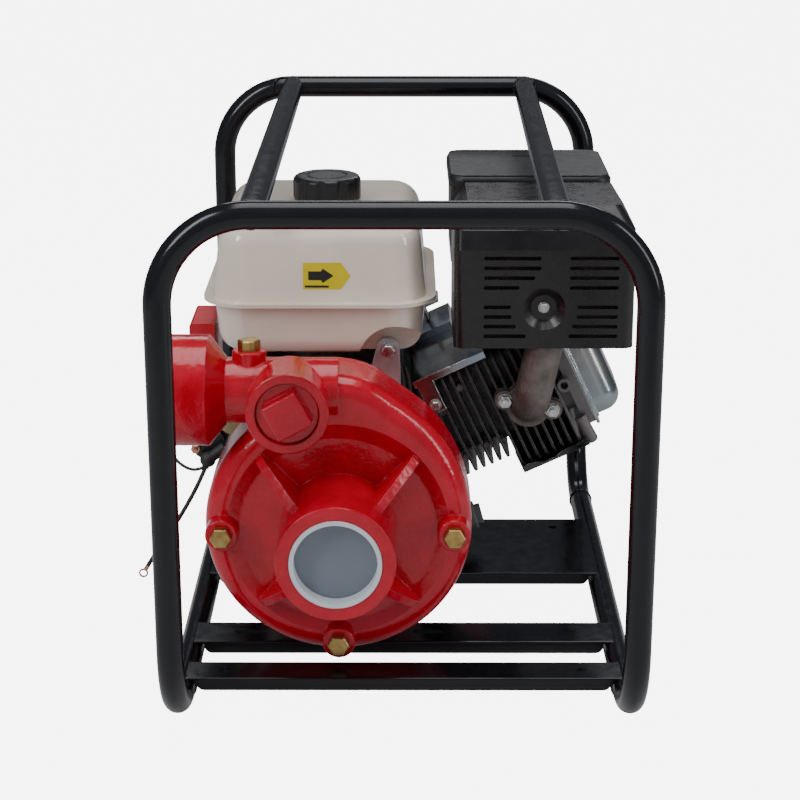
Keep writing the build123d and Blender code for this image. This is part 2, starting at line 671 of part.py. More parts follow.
def build_engine_castings():
    parts["cylinder_block"] = make_block()
    parts["crankcase_cover"] = make_cover()
    parts["cylinder_head"] = make_head()
    parts["valve_cover"] = make_valve_cover()
    parts["cylinder_shroud"] = make_shroud()
    parts["exhaust_elbow"] = make_elbow()
    nuts = []
    for x, z in stud_places():
        stud = rod_y(x, z, EXHAUST_Y + 14, EXHAUST_Y - 20, 4)
        nuts.append(stud + hex_head(facing(EXHAUST_Y - 9, x, z), 13, 7, 7.9))
    parts["exhaust_studs"] = Compound(nuts)
    feet = []
    for x in (AXIS_X - FEET_X, AXIS_X + FEET_X):
        for y in FEET_Y:
            top = Plane(origin=(x, y, DECK_Z + 13), x_dir=(1, 0, 0), z_dir=(0, 0, 1))
            low = Plane(origin=(x, y, DECK_Z - PLATE_T), x_dir=(1, 0, 0), z_dir=(0, 0, -1))
            feet.append(bolt(top, 5, 20, 16, 7) + hex_head(low, 16, 6))
    parts["engine_mount_bolts"] = Compound(feet)


# ---------------------------------------------------------------- engine running gear


def make_crankshaft():
    """Crankshaft with two balanced webs, crank pin, timing gear and the pump's long nose."""
    body = rod_y(AXIS_X, AXIS_Z, -190, 22, SHAFT_R)
    body += rod_y(AXIS_X, AXIS_Z, 82, 171, SHAFT_R)
    body += rod_y(AXIS_X, AXIS_Z, 171, 192, 10)
    for y in (22, 66):
        body += rod_y(AXIS_X, AXIS_Z, y, y + 16, 56)
    x, z = along_cyl(CRANK_THROW, 0)
    body += rod_y(x, z, 38, 66, 17)
    gear = gear_outline(20, 0.5) - Circle(SHAFT_R)
    body += extrude(facing(14) * (Rot(0, 0, CAM_ANGLE) * gear), 12)
    return body


def gear_outline(teeth, start):
    """Gear outline with flat-topped teeth; start shifts it round by that share of a tooth."""
    pitch_r = GEAR_MODULE * teeth / 2
    step = 360 / teeth
    points = []
    for i in range(teeth):
        centre = (i + start) * step
        for share, radius in ((-0.26, -1.25), (-0.12, 0.9), (0.12, 0.9), (0.26, -1.25)):
            angle = math.radians(centre + share * step)
            reach = pitch_r + radius * GEAR_MODULE
            points.append((reach * math.cos(angle), reach * math.sin(angle)))
    return make_face(Polyline(*points, close=True))


def make_camshaft():
    """Camshaft below the crank, with its gear and two lobes."""
    place = facing(14, *CAM_PLACE)
    body = rod_y(*CAM_PLACE, -23.9, 107.9, 7)
    body += extrude(place * (Rot(0, 0, CAM_ANGLE + 180) * gear_outline(40, 0)), 10)
    for y, turn in ((92, 20), (104, 110)):
        lobe = Circle(10.5) + Pos(4.5, 0) * Circle(7)
        body += extrude(facing(y, *CAM_PLACE) * (Rot(0, 0, turn) * lobe), 8)
    return body


def make_piston():
    """Piston at the top of its stroke, with ring grooves and a gudgeon pin."""
    top = 158
    standing = (Align.CENTER, Align.CENTER, Align.MIN)
    body = CYL * (Pos(0, 0, top - 58) * Cylinder(BORE_R - 0.1, 58, align=standing))
    body -= CYL * (Pos(0, 0, top - 59) * Cylinder(BORE_R - 6, 51, align=standing))
    for depth in (6, 12, 18):
        groove = Cylinder(BORE_R + 1, 2) - Cylinder(BORE_R - 3, 2)
        body -= CYL * (Pos(0, 0, top - depth) * groove)
    pin_x, pin_z = along_cyl(top - 34, 0)
    body -= rod_y(pin_x, pin_z, CYL_Y - 50, CYL_Y + 50, 9)
    return body + rod_y(pin_x, pin_z, CYL_Y - 41, CYL_Y + 41, 9)


def make_rod():
    """Connecting rod, its big end left open and clear of the crank pin's circle."""
    pin_x, pin_z = along_cyl(124, 0)
    body = rod_y(pin_x, pin_z, CYL_Y - 11, CYL_Y + 11, 15)
    body += cyl_block(CYL_Y - 7, CYL_Y + 7, -9, 9, 48, 124)
    body -= rod_y(pin_x, pin_z, CYL_Y - 20, CYL_Y + 20, 9.05)
    return body - rod_y(AXIS_X, AXIS_Z, CYL_Y - 20, CYL_Y + 20, CRANK_THROW + 18)


def make_flywheel():
    """Flywheel with a ring gear round its rim and a hub on the shaft's end."""
    body = rod_y(AXIS_X, AXIS_Z, 134, 164, FLYWHEEL_R)
    body -= ring_y(AXIS_X, AXIS_Z, 146, 165, 90, 34)
    ring = Circle(FLYWHEEL_R + 1)
    body += extrude(facing(144) * (ring + PolarLocations(FLYWHEEL_R + 1.5, 72) * Circle(2.2)), 10)
    return body - rod_y(AXIS_X, AXIS_Z, 130, 170, SHAFT_R)


def make_fan():
    """Moulded fan on the flywheel: disc and curved blades."""
    body = ring_y(AXIS_X, AXIS_Z, 164, 168, 100, SHAFT_R)
    blade = facing(190) * (Pos(78, 0) * (Rot(0, 0, 28) * Rectangle(44, 3)))
    blade = extrude(blade, 23)
    axis = Axis((AXIS_X, 0, AXIS_Z), (0, 1, 0))
    for i in range(16):
        body += blade.rotate(axis, 22.5 * i)
    return body


def make_starter_cup():
    """Pressed cup on the shaft's end that the recoil starter's pawls grip."""
    body = ring_y(AXIS_X, AXIS_Z, 168, 214, 46, 44)
    body += ring_y(AXIS_X, AXIS_Z, 168, 171, 46, SHAFT_R)
    for i in range(6):
        angle = math.radians(60 * i + 30)
        x, z = AXIS_X + 45 * math.cos(angle), AXIS_Z + 45 * math.sin(angle)
        body -= rod((x, 200, z), (x + 6 * math.cos(angle), 200, z + 6 * math.sin(angle)), 6)
    return body


def build_running_gear():
    parts["crankshaft"] = make_crankshaft()
    parts["camshaft"] = make_camshaft()
    parts["piston"] = make_piston()
    parts["connecting_rod"] = make_rod()
    bearings = [ring_y(AXIS_X, AXIS_Z, y, y + 17, 36, SHAFT_R + 0.05) for y in (-31, 104)]
    parts["main_bearings"] = Compound(bearings)
    parts["flywheel"] = make_flywheel()
    parts["cooling_fan"] = make_fan()
    parts["starter_cup"] = make_starter_cup()
    rear = Plane(origin=(AXIS_X, 171, AXIS_Z), x_dir=(1, 0, 0), z_dir=(0, 1, 0))
    nut = hex_head(rear, 30, 14)
    parts["flywheel_nut"] = nut - rod_y(AXIS_X, AXIS_Z, 170, 190, 10)


# ---------------------------------------------------------------- engine covers


def make_blower_housing():
    """Sheet-steel blower housing round the fan, with a duct towards the cylinder."""
    outer = rod_y(AXIS_X, AXIS_Z, BLOCK_REAR_Y, 215, 123)
    outer = fillet(outer.edges().filter_by(GeomType.CIRCLE).sort_by(Axis.Y)[-1], 10)
    outer += cyl_block(BLOCK_REAR_Y, 200, -58, 58, 20, 155)
    inner = rod_y(AXIS_X, AXIS_Z, BLOCK_REAR_Y, 213.5, 121.5)
    inner = fillet(inner.edges().filter_by(GeomType.CIRCLE).sort_by(Axis.Y)[-1], 8.5)
    inner += cyl_block(BLOCK_REAR_Y, 198.5, -56.5, 56.5, 20, 153.5)
    body = outer - inner
    return body - rod_y(AXIS_X, AXIS_Z, 200, 220, 84)


def make_recoil_cover():
    """Domed recoil starter cover with a rim flange, air slots, an inner post and a rope mouth."""
    outer = rod_y(AXIS_X, AXIS_Z, 215, 276, 97)
    outer = fillet(outer.edges().filter_by(GeomType.CIRCLE).sort_by(Axis.Y)[-1], 18)
    inner = rod_y(AXIS_X, AXIS_Z, 214, 274, 95)
    inner = fillet(inner.edges().filter_by(GeomType.CIRCLE).sort_by(Axis.Y)[-1], 16)
    body = outer - inner + ring_y(AXIS_X, AXIS_Z, 215, 217, 104, 94)
    axis = Axis((AXIS_X, 0, AXIS_Z), (0, 1, 0))
    slot = block(AXIS_X - 3, AXIS_X + 3, 270, 280, AXIS_Z + 40, AXIS_Z + 74)
    for i in range(18):
        body -= slot.rotate(axis, 20 * i)
    side = block(AXIS_X + 90, AXIS_X + 100, 224, 252, AXIS_Z - 4, AXIS_Z + 4)
    for i in range(24):
        if i not in (11, 12, 13):
            body -= side.rotate(axis, -15 * i)
    body += rod_y(AXIS_X, AXIS_Z, 222, 275, 10)
    start, end = rope_line(60), rope_line(82)
    body += rod(start, end, 9)
    return body - rod(rope_line(40), rope_line(100), 4)


def rope_line(reach, y=234.0):
    """World point at this reach along the starter rope's line, from the pulley's rim."""
    side = Vector(0, 1, 0).cross(HANDLE_DIR)
    root = Vector(AXIS_X, y, AXIS_Z) - side * PULLEY_R
    return root + HANDLE_DIR * reach


def make_handle():
    """Starter grip: a rounded bar across the rope's line, with a short neck."""
    place = Plane(origin=rope_line(83), x_dir=(0, 1, 0), z_dir=HANDLE_DIR)
    neck = extrude(Circle(8), 16)
    neck = chamfer(neck.faces().sort_by(Axis.Z)[0].edges(), 2)
    grip = Pos(0, 0, 14) * extrude(RectangleRounded(22, 72, 10.5), 20)
    grip = fillet(grip.faces().sort_by(Axis.Z)[-1].edges(), 8)
    grip = fillet(grip.faces().sort_by(Axis.Z)[0].edges(), 4)
    return place * (neck + grip)


def make_pulley():
    """Recoil pulley with a rope groove, on the cover's post."""
    body = ring_y(AXIS_X, AXIS_Z, 224, 244, PULLEY_R + 4, 10.1)
    return body - ring_y(AXIS_X, AXIS_Z, 230, 238, PULLEY_R + 5, PULLEY_R - 6)


def make_guard():
    """Muffler guard: folded sheet box, open below, with slots round a bolted dimple."""
    (x0, x1), (y0, y1), (z0, z1) = GUARD_X, GUARD_Y, GUARD_Z
    body = guard_solid(0) - guard_solid(SHEET_T)
    # Dimple that the bolt pulls against the muffler
    body -= rod_y(DIMPLE_X, DIMPLE_Z, y0 - 1, y0 + 3, 22)
    dish = Polyline(
        (y0, 22), (y0 + SHEET_T, 24), (y0 + 8 + SHEET_T, 12), (y0 + 8 + SHEET_T, 4), (y0 + 8, 4),
        (y0 + 8, 13), close=True,
    )
    spun = revolve(make_face(Plane.XY * dish), Axis.X)
    body += Pos(DIMPLE_X, 0, DIMPLE_Z) * (Rot(0, 0, 90) * spun)
    pitch, height, clear_r = 10.2, 4.0, 34.0
    for row in (-3, -2, -1, 0, 2, 3, 4, 5):
        z = DIMPLE_Z + 2 + pitch * row
        reach = math.sqrt(max(clear_r**2 - (z - DIMPLE_Z)**2, 0))
        left = (x0 + 30, min(x0 + 88, DIMPLE_X - reach))
        right = (max(x0 + 117, DIMPLE_X + reach), x1 - 17)
        for start, end in (left, right):
            cutter = Pos((start + end) / 2, 0) * SlotOverall(end - start, height)
            body -= extrude(facing(y0 + 4, 0, z) * cutter, 8)
    # Louvre slots along the bevels and on the right side
    for i in range(8):
        y = y0 + 24 + 12 * i
        body -= block(x0 - 2, x0 + 18, y, y + 4, z1 - 18, z1 - 6)
        body -= block(x1 - 18, x1 + 2, y, y + 4, z1 - 18, z1 - 6)
        for z in (z0 + 20, z0 + 60):
            body -= block(x1 - 3, x1 + 1, y, y + 4, z, z + 30)
    return body - rod((x1 - 3, 30, 407), (x1 + 1, 30, 407), 12.5)


def guard_solid(inset):
    """Bevelled and rounded block of the guard's outside, or of its inside when inset."""
    x0, x1 = GUARD_X[0] + inset, GUARD_X[1] - inset
    y0, y1 = GUARD_Y[0] + inset, GUARD_Y[1] + inset
    z0, z1 = GUARD_Z[0] - inset, GUARD_Z[1] - inset
    wide, tall = 14 - 0.3 * inset, 22 - 0.6 * inset
    front = Polyline((x0, z0), (x1, z0), (x1, z1 - tall), (x1 - wide, z1), (x0 + wide, z1),
                     (x0, z1 - tall), close=True)
    side = Polyline((y0, z0), (y1, z0), (y1, z1), (y0 + 26, z1), (y0 + 6, z1 - tall),
                    (y0, z1 - 41), close=True)
    body = extrude(facing(y1, 0, 0) * make_face(front), y1 - y0)
    across = Plane(origin=(x0, 0, 0), x_dir=(0, 1, 0), z_dir=(1, 0, 0))
    body &= extrude(across * make_face(side), x1 - x0)
    corners = body.edges().filter_by(
        lambda edge: edge.center().Y < y0 + 25 and edge.center().Z < z1 - 0.5
        and abs(edge.tangent_at(0.5).X) < 0.8)
    return fillet(corners, 10 - inset)


def muffler_solid(inset):
    """Rounded tin stepped up over the cylinder head; smaller all round when inset."""
    y0, y1, low = -50 + inset, 66 - inset, MUFFLER_Z + inset
    side = Polyline((y0, low), (-20 - inset, low), (-20 - inset, low + 16), (y1, low + 16),
                    (y1, 424 - inset), (y0, 424 - inset), close=True)
    across = Plane(origin=(58 + inset, 0, 0), x_dir=(0, 1, 0), z_dir=(1, 0, 0))
    body = extrude(across * make_face(side), 164 - 2 * inset)
    upper = body.edges().filter_by(Axis.X).group_by(Axis.Z)[-1]
    return fillet(upper, 16 - inset)


def make_muffler():
    """Muffler: tin with an inlet hole below and an outlet stub on its right."""
    body = muffler_solid(0) - muffler_solid(2)
    x, y = EXHAUST_TOP[:2]
    body -= rod((x - 0.8, y, MUFFLER_Z - 1), (x - 0.8, y, MUFFLER_Z + 4), 15)
    outlet = (222, 30, 407), (231, 30, 407)
    return body + rod(*outlet, 12) - rod((215, 30, 407), outlet[1], 10)


def tank_shell(length, width, corner, height, edge_r, taper):
    """Solid of one tank half: a tapered rounded box standing on its wide end."""
    body = extrude(RectangleRounded(length, width, corner), height, taper=taper)
    return fillet(body.faces().sort_by(Axis.Z)[-1].edges(), edge_r)


def tank_upper_solid(inset):
    """Upper half's outside, or its inside when inset: sloped shoulder in front, crowned top."""
    length, width = TANK_X[1] - TANK_X[0] - 20 - 2 * inset, TANK_Y[1] - TANK_Y[0] - 18 - 2 * inset
    height = TANK_TOP_Z - TANK_SEAM_Z - inset
    body = tank_shell(length, width, 40 - inset, height, 26 - inset, 6)
    y0 = -width / 2 - 1
    # The front shoulder falls away to a lower front panel
    wedge = Polyline((y0, height - 17), (y0 + 14, height - 13), (y0 + 88, height + 1),
                     (y0, height + 1), close=True)
    across = Plane(origin=(-length / 2 - 5, 0, 0), x_dir=(0, 1, 0), z_dir=(1, 0, 0))
    return body - extrude(across * make_face(wedge), length + 10)


def tank_lower_solid(inset):
    """Lower half, upside down: deep in front, raised behind over the blower housing."""
    length = TANK_X[1] - TANK_X[0] - 22 - 2 * inset
    width = TANK_Y[1] - TANK_Y[0] - 20 - 2 * inset
    deep, raised = TANK_SEAM_Z - TANK_BOTTOM_Z - inset, TANK_SEAM_Z - TANK_STEP_Z - inset
    body = tank_shell(length, width, 40 - inset, deep, 22 - inset, 5)
    step_y = (TANK_Y[0] + TANK_Y[1]) / 2 - TANK_STEP_Y + inset
    return body - block(-length, length, -width, step_y, raised, deep + 5)


def build_tank():
    length, width = TANK_X[1] - TANK_X[0], TANK_Y[1] - TANK_Y[0]
    centre_x, centre_y = (TANK_X[0] + TANK_X[1]) / 2, (TANK_Y[0] + TANK_Y[1]) / 2
    wall = 1.5
    flange = extrude(RectangleRounded(length, width, 48), 2)
    upper = flange + tank_upper_solid(0) - tank_upper_solid(wall)
    upper = Pos(centre_x, centre_y, TANK_SEAM_Z) * upper
    cap_x, cap_y = CAP_XY
    upper += rod((cap_x, cap_y, TANK_TOP_Z - 1.4), (cap_x, cap_y, TANK_TOP_Z + 12), 26)
    upper -= rod((cap_x, cap_y, TANK_TOP_Z - 10), (cap_x, cap_y, TANK_TOP_Z + 13), 23)
    parts["tank_upper_shell"] = upper
    upside_down = Pos(centre_x, centre_y, TANK_SEAM_Z) * Rot(180, 0, 0)
    solid = upside_down * tank_lower_solid(0)
    lower = upside_down * flange + solid
    lower -= upside_down * tank_lower_solid(wall)
    # Pressed-in recess round the mounting ear
    ear_x, ear_z = TANK_EAR
    place = (ear_x + 6, ear_z - 10, TANK_Y[0] - 1)
    lower += rod_y(*place, TANK_Y[0] + 42 + wall, 36 + wall) & solid
    lower -= rod_y(*place, TANK_Y[0] + 42, 36)
    parts["tank_lower_shell"] = lower
    parts["fuel_cap"] = make_fuel_cap()


def make_fuel_cap():
    """Fluted fuel cap over the tank's neck."""
    x, y = CAP_XY
    z = TANK_TOP_Z + 3
    body = Pos(x, y, z) * extrude(Circle(36), 24)
    body = fillet(body.edges().filter_by(GeomType.CIRCLE).sort_by(Axis.Z)[-1], 5)
    for i in range(10):
        angle = math.radians(36 * i + 10)
        fx, fy = x + 43 * math.cos(angle), y + 43 * math.sin(angle)
        body -= rod((fx, fy, z - 1), (fx, fy, z + 25), 9.5)
    groove = rod((x, y, z + 23), (x, y, z + 25), 22) - rod((x, y, z + 22), (x, y, z + 26), 20)
    body -= groove
    body -= rod((x, y, z - 1), (x, y, z + 12), 26.5)
    return body


def make_tank_bracket(cover):
    """Cast ear that holds the fuel tank's front corner, standing on the crankcase cover."""
    x, z = TANK_EAR
    ear = Circle(12)
    foot = Pos(-8, -80) * Rectangle(44, 20)
    outline = make_hull((ear + foot).edges())
    body = extrude(facing(EAR_Y + 10, x, z) * outline, 10) - cover
    body = body.solids().sort_by(Axis.Z)[-1]
    return body - rod_y(x, z, EAR_Y - 1, EAR_Y + 11, 4)


def make_baffle():
    """Folded sheet that closes the gap between the tank and the cylinder's first fin."""
    outline = Polyline((-6, 283), (-2, 262), (6, 250.5), (7, 252), (-0.5, 262.8), (-4.5, 283),
                       close=True)
    return extrude(facing(80, 0, 0) * make_face(outline), 90)


def make_starter():
    """Starter motor with its nose in the crankcase's lug."""
    x, z = STARTER_X, STARTER_Z
    body = rod_y(x, z, -15, 106, 30)
    body = fillet(body.edges().filter_by(GeomType.CIRCLE).sort_by(Axis.Y)[0], 4)
    for y in (-4, 92):
        body -= ring_y(x, z, y, y + 1.5, 31, 29)
    body += rod_y(x, z, 106, 119, 21)
    return body + rod_y(x, z, 119, 119.9, 11)


def make_solenoid():
    """Starter solenoid beside the motor, with a moulded cap in front."""
    x, z = SOLENOID
    body = rod_y(x, z, -20, 48, 17.8)
    body = chamfer(body.edges().filter_by(GeomType.CIRCLE), 1.5)
    body += block(x + 3, x + 26, 0, 40, z + 2, z + 22)
    body -= rod_y(STARTER_X, STARTER_Z, -16, 107, 30)
    for place in TERMINALS:
        body -= rod_y(*place, -21, -12, 2.5)
    return body


def make_boot(terminals):
    """Rubber boot over the lower terminal, with the mouth that both leads leave by."""
    x, z = TERMINALS[1]
    body = Pos(x, -31, z) * Sphere(8.5)
    body += rod((x, -31, z), (x + 18, -28, z + 13), 6)
    body += block(-213.6, -206.6, -36.4, -23.6, 158, 166)
    return body - terminals


def make_control_box():
    """Switch box: moulded case, open behind, with a lead gland below."""
    body = fillet(block(-228, -201, 15, 88, 262, 303).edges().filter_by(Axis.Y), 4)
    body -= fillet(block(-226, -203, 17, 90, 264, 301).edges().filter_by(Axis.Y), 2)
    x, y, z = SWITCH_LEAD[-1]
    return body + rod((x, y, z), (x, y, 263), 4)


def make_carburettor():
    """Carburettor: throat, flange to the head's insulator, float bowl and drain screw."""
    x, z = INLET
    body = fillet(block(x - 20, x + 20, 137, 166, z - 20, z + 20).edges(), 5)
    body += rod_y(x, z, 133, 170, 22)
    body += rod((x, 158, z - 18), (x, 158, z - 32), 20.5)
    bowl = rod((x, 158, z - 32), (x, 158, z - 52), 18.5)
    body += fillet(bowl.edges().filter_by(GeomType.CIRCLE).sort_by(Axis.Z)[0], 4)
    body += rod((x, 158, z - 52), (x, 158, z - 57), 5)
    return body - rod_y(x, z, 132, 171, 13)


def tray(x0, x1, y0, y1, z0, z1, corner, wall, floor):
    """Open rounded tray; a negative floor puts the closed side on top."""
    outer = fillet(block(x0, x1, y0, y1, z0, z1).edges().filter_by(Axis.Z), corner)
    low = z0 + floor if floor > 0 else z0
    high = z1 if floor > 0 else z1 + floor
    inner = block(x0 + wall, x1 - wall, y0 + wall, y1 - wall, low, high)
    return outer, fillet(inner.edges().filter_by(Axis.Z), corner - wall)


def build_air_cleaner():
    x0, x1 = AIR_BOX_X
    y0, y1 = AIR_BOX_Y
    outer, inner = tray(x0 + 3, x1 - 3, y0 + 3, y1 - 3, 348, 366, 14, 2, 2)
    base = outer - inner
    x = INLET[0]
    parts["air_cleaner_base"] = base - rod((x, ELBOW_Y, 347), (x, ELBOW_Y, 351), 14.5)
    top = AIR_BOX_TOP_Z
    outer, inner = tray(x0 + 2.5, x1 - 2.5, y0 + 2.5, y1 - 2.5, 366, top, 16, 2.2, -2.2)
    band = fillet(block(x0, x1, y0, y1, top - 13, top).edges().filter_by(Axis.Z), 18)
    outer += fillet(band.faces().sort_by(Axis.Z)[-1].edges(), 7)
    x_mid = (x0 + x1) / 2
    outer += block(x_mid - 14, x_mid + 14, y1 - 42, y1 - 38, top - 1, top + 0.8)
    parts["air_cleaner_cover"] = outer - fillet(inner.faces().sort_by(Axis.Z)[-1].edges(), 7)
    outer, inner = tray(x0 + 25, x1 - 25, y0 + 22, y1 - 22, 350, top - 22, 22, 14, 4)
    element = outer - inner
    parts["air_filter_element"] = element - rod((x, ELBOW_Y, 347), (x, ELBOW_Y, 356), 14.5)
    points = [(x, 170, INLET[1]), (x, ELBOW_Y, INLET[1]), (x, ELBOW_Y, 348)]
    parts["intake_elbow"] = swept(points, Circle(18) - Circle(14.5), 24)
    knob_x, knob_z = x_mid, top - 42
    knob = rod_y(knob_x, knob_z, y1 + 0.3, y1 + 9, 9)
    knob += block(knob_x - 20, knob_x + 20, y1 + 2, y1 + 12, knob_z - 3, knob_z + 3)
    knob = fillet(knob.edges().filter_by(Axis.Y), 1.4)
    parts["air_cleaner_knob"] = knob


def make_lever(pivot, length, width, knob_r):
    """Flat lever from a pivot plane: boss, tapered arm along local x and a knob at its end."""
    arm = make_hull((Circle(width) + Pos(length, 0) * Circle(width * 0.6)).edges())
    body = extrude(arm, 2) + extrude(Circle(width), 4)
    return pivot * (body + Pos(length, 0) * extrude(Circle(knob_r), 8))


def build_controls():
    x, z = INLET
    side = x + 22.3
    choke = Plane(origin=(side, 158, z + 10), x_dir=(0, 1, 0), z_dir=(1, 0, 0))
    parts["choke_lever"] = make_lever(choke, 30, 6, 5)
    # Throttle: a plate on the blower duct with a lever on it
    plate = cyl_block(150, 195, 78, 80, 108, 150)
    parts["throttle_plate"] = plate + cyl_block(160, 190, 58, 79, 128, 130.5)
    up = Vector(*along(0, 1)) - Vector(*along(0, 0))
    throttle = Plane(origin=along(130, 80.3, 172), x_dir=(0, 1, 0), z_dir=up)
    parts["throttle_lever"] = make_lever(throttle, 62, 7, 6)
    parts["control_box"] = make_control_box()
    panel = fillet(block(-228, -201, 88, 90, 262, 303).edges().filter_by(Axis.Y), 4)
    panel += rod_y(*KEY_PLACE, 90, 94, 8)
    parts["control_panel"] = panel - rod_y(*KEY_PLACE, 89, 95, 2.2)
    key = rod_y(*KEY_PLACE, 90, 96, 2) + block(KEY_PLACE[0] - 1, KEY_PLACE[0] + 1, 94.3, 112,
                                               KEY_PLACE[1] - 9, KEY_PLACE[1] + 9)
    parts["ignition_key"] = key
    bracket = block(-201, -199, 30, 80, 244, 300) + block(-201, -160, 30, 80, 242, 244)
    parts["control_box_bracket"] = bracket


def make_terminals():
    """Solenoid studs with their nuts."""
    studs = []
    for x, z in TERMINALS:
        studs.append(rod_y(x, z, -31, -12, 2.5) + hex_head(facing(-20, x, z), 9, 6))
    return Compound(studs)


def make_ring_terminal():
    """Crimp barrel on the lead's end, flattened into a ring that faces the front."""
    end, before = Vector(*BATTERY_LEAD[-1]), Vector(*BATTERY_LEAD[-2])
    toward = (end - before).normalized()
    body = rod(end, end + toward * 5, BATTERY_LEAD_D / 2)
    centre = end + toward * 10
    place = Plane(origin=centre + Vector(0, 0.5, 0), x_dir=toward, z_dir=(0, -1, 0))
    tongue = Circle(5) + Pos(-4.5, 0) * Rectangle(7, 4)
    body += extrude(place * tongue, 1)
    return body - extrude(place * Circle(3.1), 1)


def build_electrics():
    parts["starter_motor"] = make_starter()
    parts["starter_solenoid"] = make_solenoid()
    terminals = make_terminals()
    parts["solenoid_terminals"] = terminals
    parts["terminal_boot"] = make_boot(terminals)
    parts["battery_lead"] = lead(BATTERY_LEAD, BATTERY_LEAD_D)
    parts["ring_terminal"] = make_ring_terminal()
    parts["switch_lead"] = lead(SWITCH_LEAD, SWITCH_LEAD_D)
    parts["ignition_coil"] = cyl_block(134, 150, -20, 20, 113, 138, 4)
    plug = rod(*spark_plug_line(0, 46), 7.9) + rod(*spark_plug_line(31, 40), 10)
    cap = rod(*spark_plug_line(41, 62), 11)
    parts["spark_plug"] = plug + fillet(cap.edges().filter_by(GeomType.CIRCLE), 3)


def make_oil_cap(side):
    """Oil filler cap screwed on the neck."""
    root, mouth = (Vector(*p) for p in filler_ends(side))
    place = Plane(origin=mouth, z_dir=(mouth - root).normalized())
    cap = chamfer(extrude(Circle(16), 9).edges().filter_by(GeomType.CIRCLE), 1)
    cap += Pos(0, 0, 9) * extrude(RectangleRounded(24, 7, 3), 7)
    cap += extrude(Circle(8.7), -14)
    return place * cap


def build_covers():
    parts["blower_housing"] = make_blower_housing()
    parts["recoil_cover"] = make_recoil_cover()
    parts["recoil_pulley"] = make_pulley()
    parts["starter_handle"] = make_handle()
    parts["muffler_guard"] = make_guard()
    parts["muffler"] = make_muffler()
    parts["guard_bolt"] = hex_head(facing(GUARD_Y[0] + 8, DIMPLE_X, DIMPLE_Z), 9, 6, 5.8)
    build_tank()
    parts["tank_bracket"] = make_tank_bracket(parts["crankcase_cover"])
    parts["cylinder_baffle"] = make_baffle()
    x, z = TANK_EAR
    parts["tank_bolt"] = bolt(facing(EAR_Y, x, z), 4, 20, 12, 8, 8.5)
    x, z = along_cyl(116, 19)
    parts["shroud_bolt"] = bolt(facing(CYL_Y - 69, x, z), 3, 10, 9, 6, 6.5)
    x, z = INLET
    parts["carburettor_spacer"] = ring_y(x, z, 123, 133, 24, 14)
    parts["carburettor"] = make_carburettor()
    build_air_cleaner()
    parts["oil_filler_cap"] = make_oil_cap(1)
    parts["oil_dipstick_cap"] = make_oil_cap(-1)


# ---------------------------------------------------------------- run


def join_groups():
    """Put repeated or small companion pieces of one material into shared nodes."""
    for name, members in GROUPS.items():
        solids = [solid for member in members for solid in parts.pop(member).solids()]
        parts[name] = Compound(solids)


def main():
    os.makedirs("parts", exist_ok=True)
    build_frame()
    build_pump()
    build_engine_castings()
    build_running_gear()
    build_covers()
    build_controls()
    build_electrics()
    join_groups()
    print(len(parts), "nodes")
    for name, shape in parts.items():
        export_step(shape, f"parts/{name}.step")


main()
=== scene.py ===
import json
import math

import bmesh
import bpy
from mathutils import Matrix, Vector


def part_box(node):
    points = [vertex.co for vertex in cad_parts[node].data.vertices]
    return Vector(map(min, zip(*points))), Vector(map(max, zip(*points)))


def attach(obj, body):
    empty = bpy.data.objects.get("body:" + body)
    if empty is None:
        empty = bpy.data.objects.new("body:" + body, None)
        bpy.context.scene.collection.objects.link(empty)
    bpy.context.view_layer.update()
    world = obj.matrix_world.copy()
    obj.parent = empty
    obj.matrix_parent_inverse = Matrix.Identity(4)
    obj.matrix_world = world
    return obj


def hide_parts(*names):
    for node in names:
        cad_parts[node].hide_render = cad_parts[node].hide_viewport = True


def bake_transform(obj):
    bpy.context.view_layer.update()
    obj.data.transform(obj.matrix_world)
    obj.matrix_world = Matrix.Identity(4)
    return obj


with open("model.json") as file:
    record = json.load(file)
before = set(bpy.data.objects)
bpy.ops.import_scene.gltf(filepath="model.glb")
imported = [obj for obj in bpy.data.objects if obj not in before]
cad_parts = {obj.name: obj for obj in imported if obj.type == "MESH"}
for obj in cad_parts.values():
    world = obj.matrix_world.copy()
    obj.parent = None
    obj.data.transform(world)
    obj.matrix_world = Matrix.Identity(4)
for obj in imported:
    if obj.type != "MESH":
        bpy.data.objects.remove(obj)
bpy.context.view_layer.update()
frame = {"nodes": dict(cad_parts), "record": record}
nodes = frame["nodes"]
MM = 0.001
TILT = math.radians(25)  # of the cylinder, from level
CRANK = Vector((-0.064, 0, 0.157))  # where the crankshaft's axis crosses the frame's middle
BARREL = Vector((math.cos(TILT), 0, math.sin(TILT)))  # direction of the cylinder's axis


def along(s, t, y):
    """Point in metres at s along the inclined cylinder's axis and t across it, in millimetres."""
    x = CRANK.x + (s * math.cos(TILT) - t * math.sin(TILT)) * MM
    z = CRANK.z + (s * math.sin(TILT) + t * math.cos(TILT)) * MM
    return Vector((x, y * MM, z))


# ------------------------------------------------------------------ camera

camera_data = bpy.data.cameras.new("camera")
camera_data.lens = 90.57
camera_data.sensor_width = 36
camera_data.clip_end = 50
camera = bpy.data.objects.new("camera", camera_data)
camera.location = (0.0002, -2.0399, 0.8785)
camera.rotation_euler = (math.radians(72.19), 0, 0.0022)
bpy.context.scene.collection.objects.link(camera)
bpy.context.scene.camera = camera


# ------------------------------------------------------------------ materials

def node(tree, kind, **values):
    """A shader node with its sockets or properties set by name."""
    made = tree.nodes.new(kind)
    for key, value in values.items():
        name = key.replace("_", " ")
        if name in made.inputs:
            made.inputs[name].default_value = value
        else:
            setattr(made, key, value)
    return made


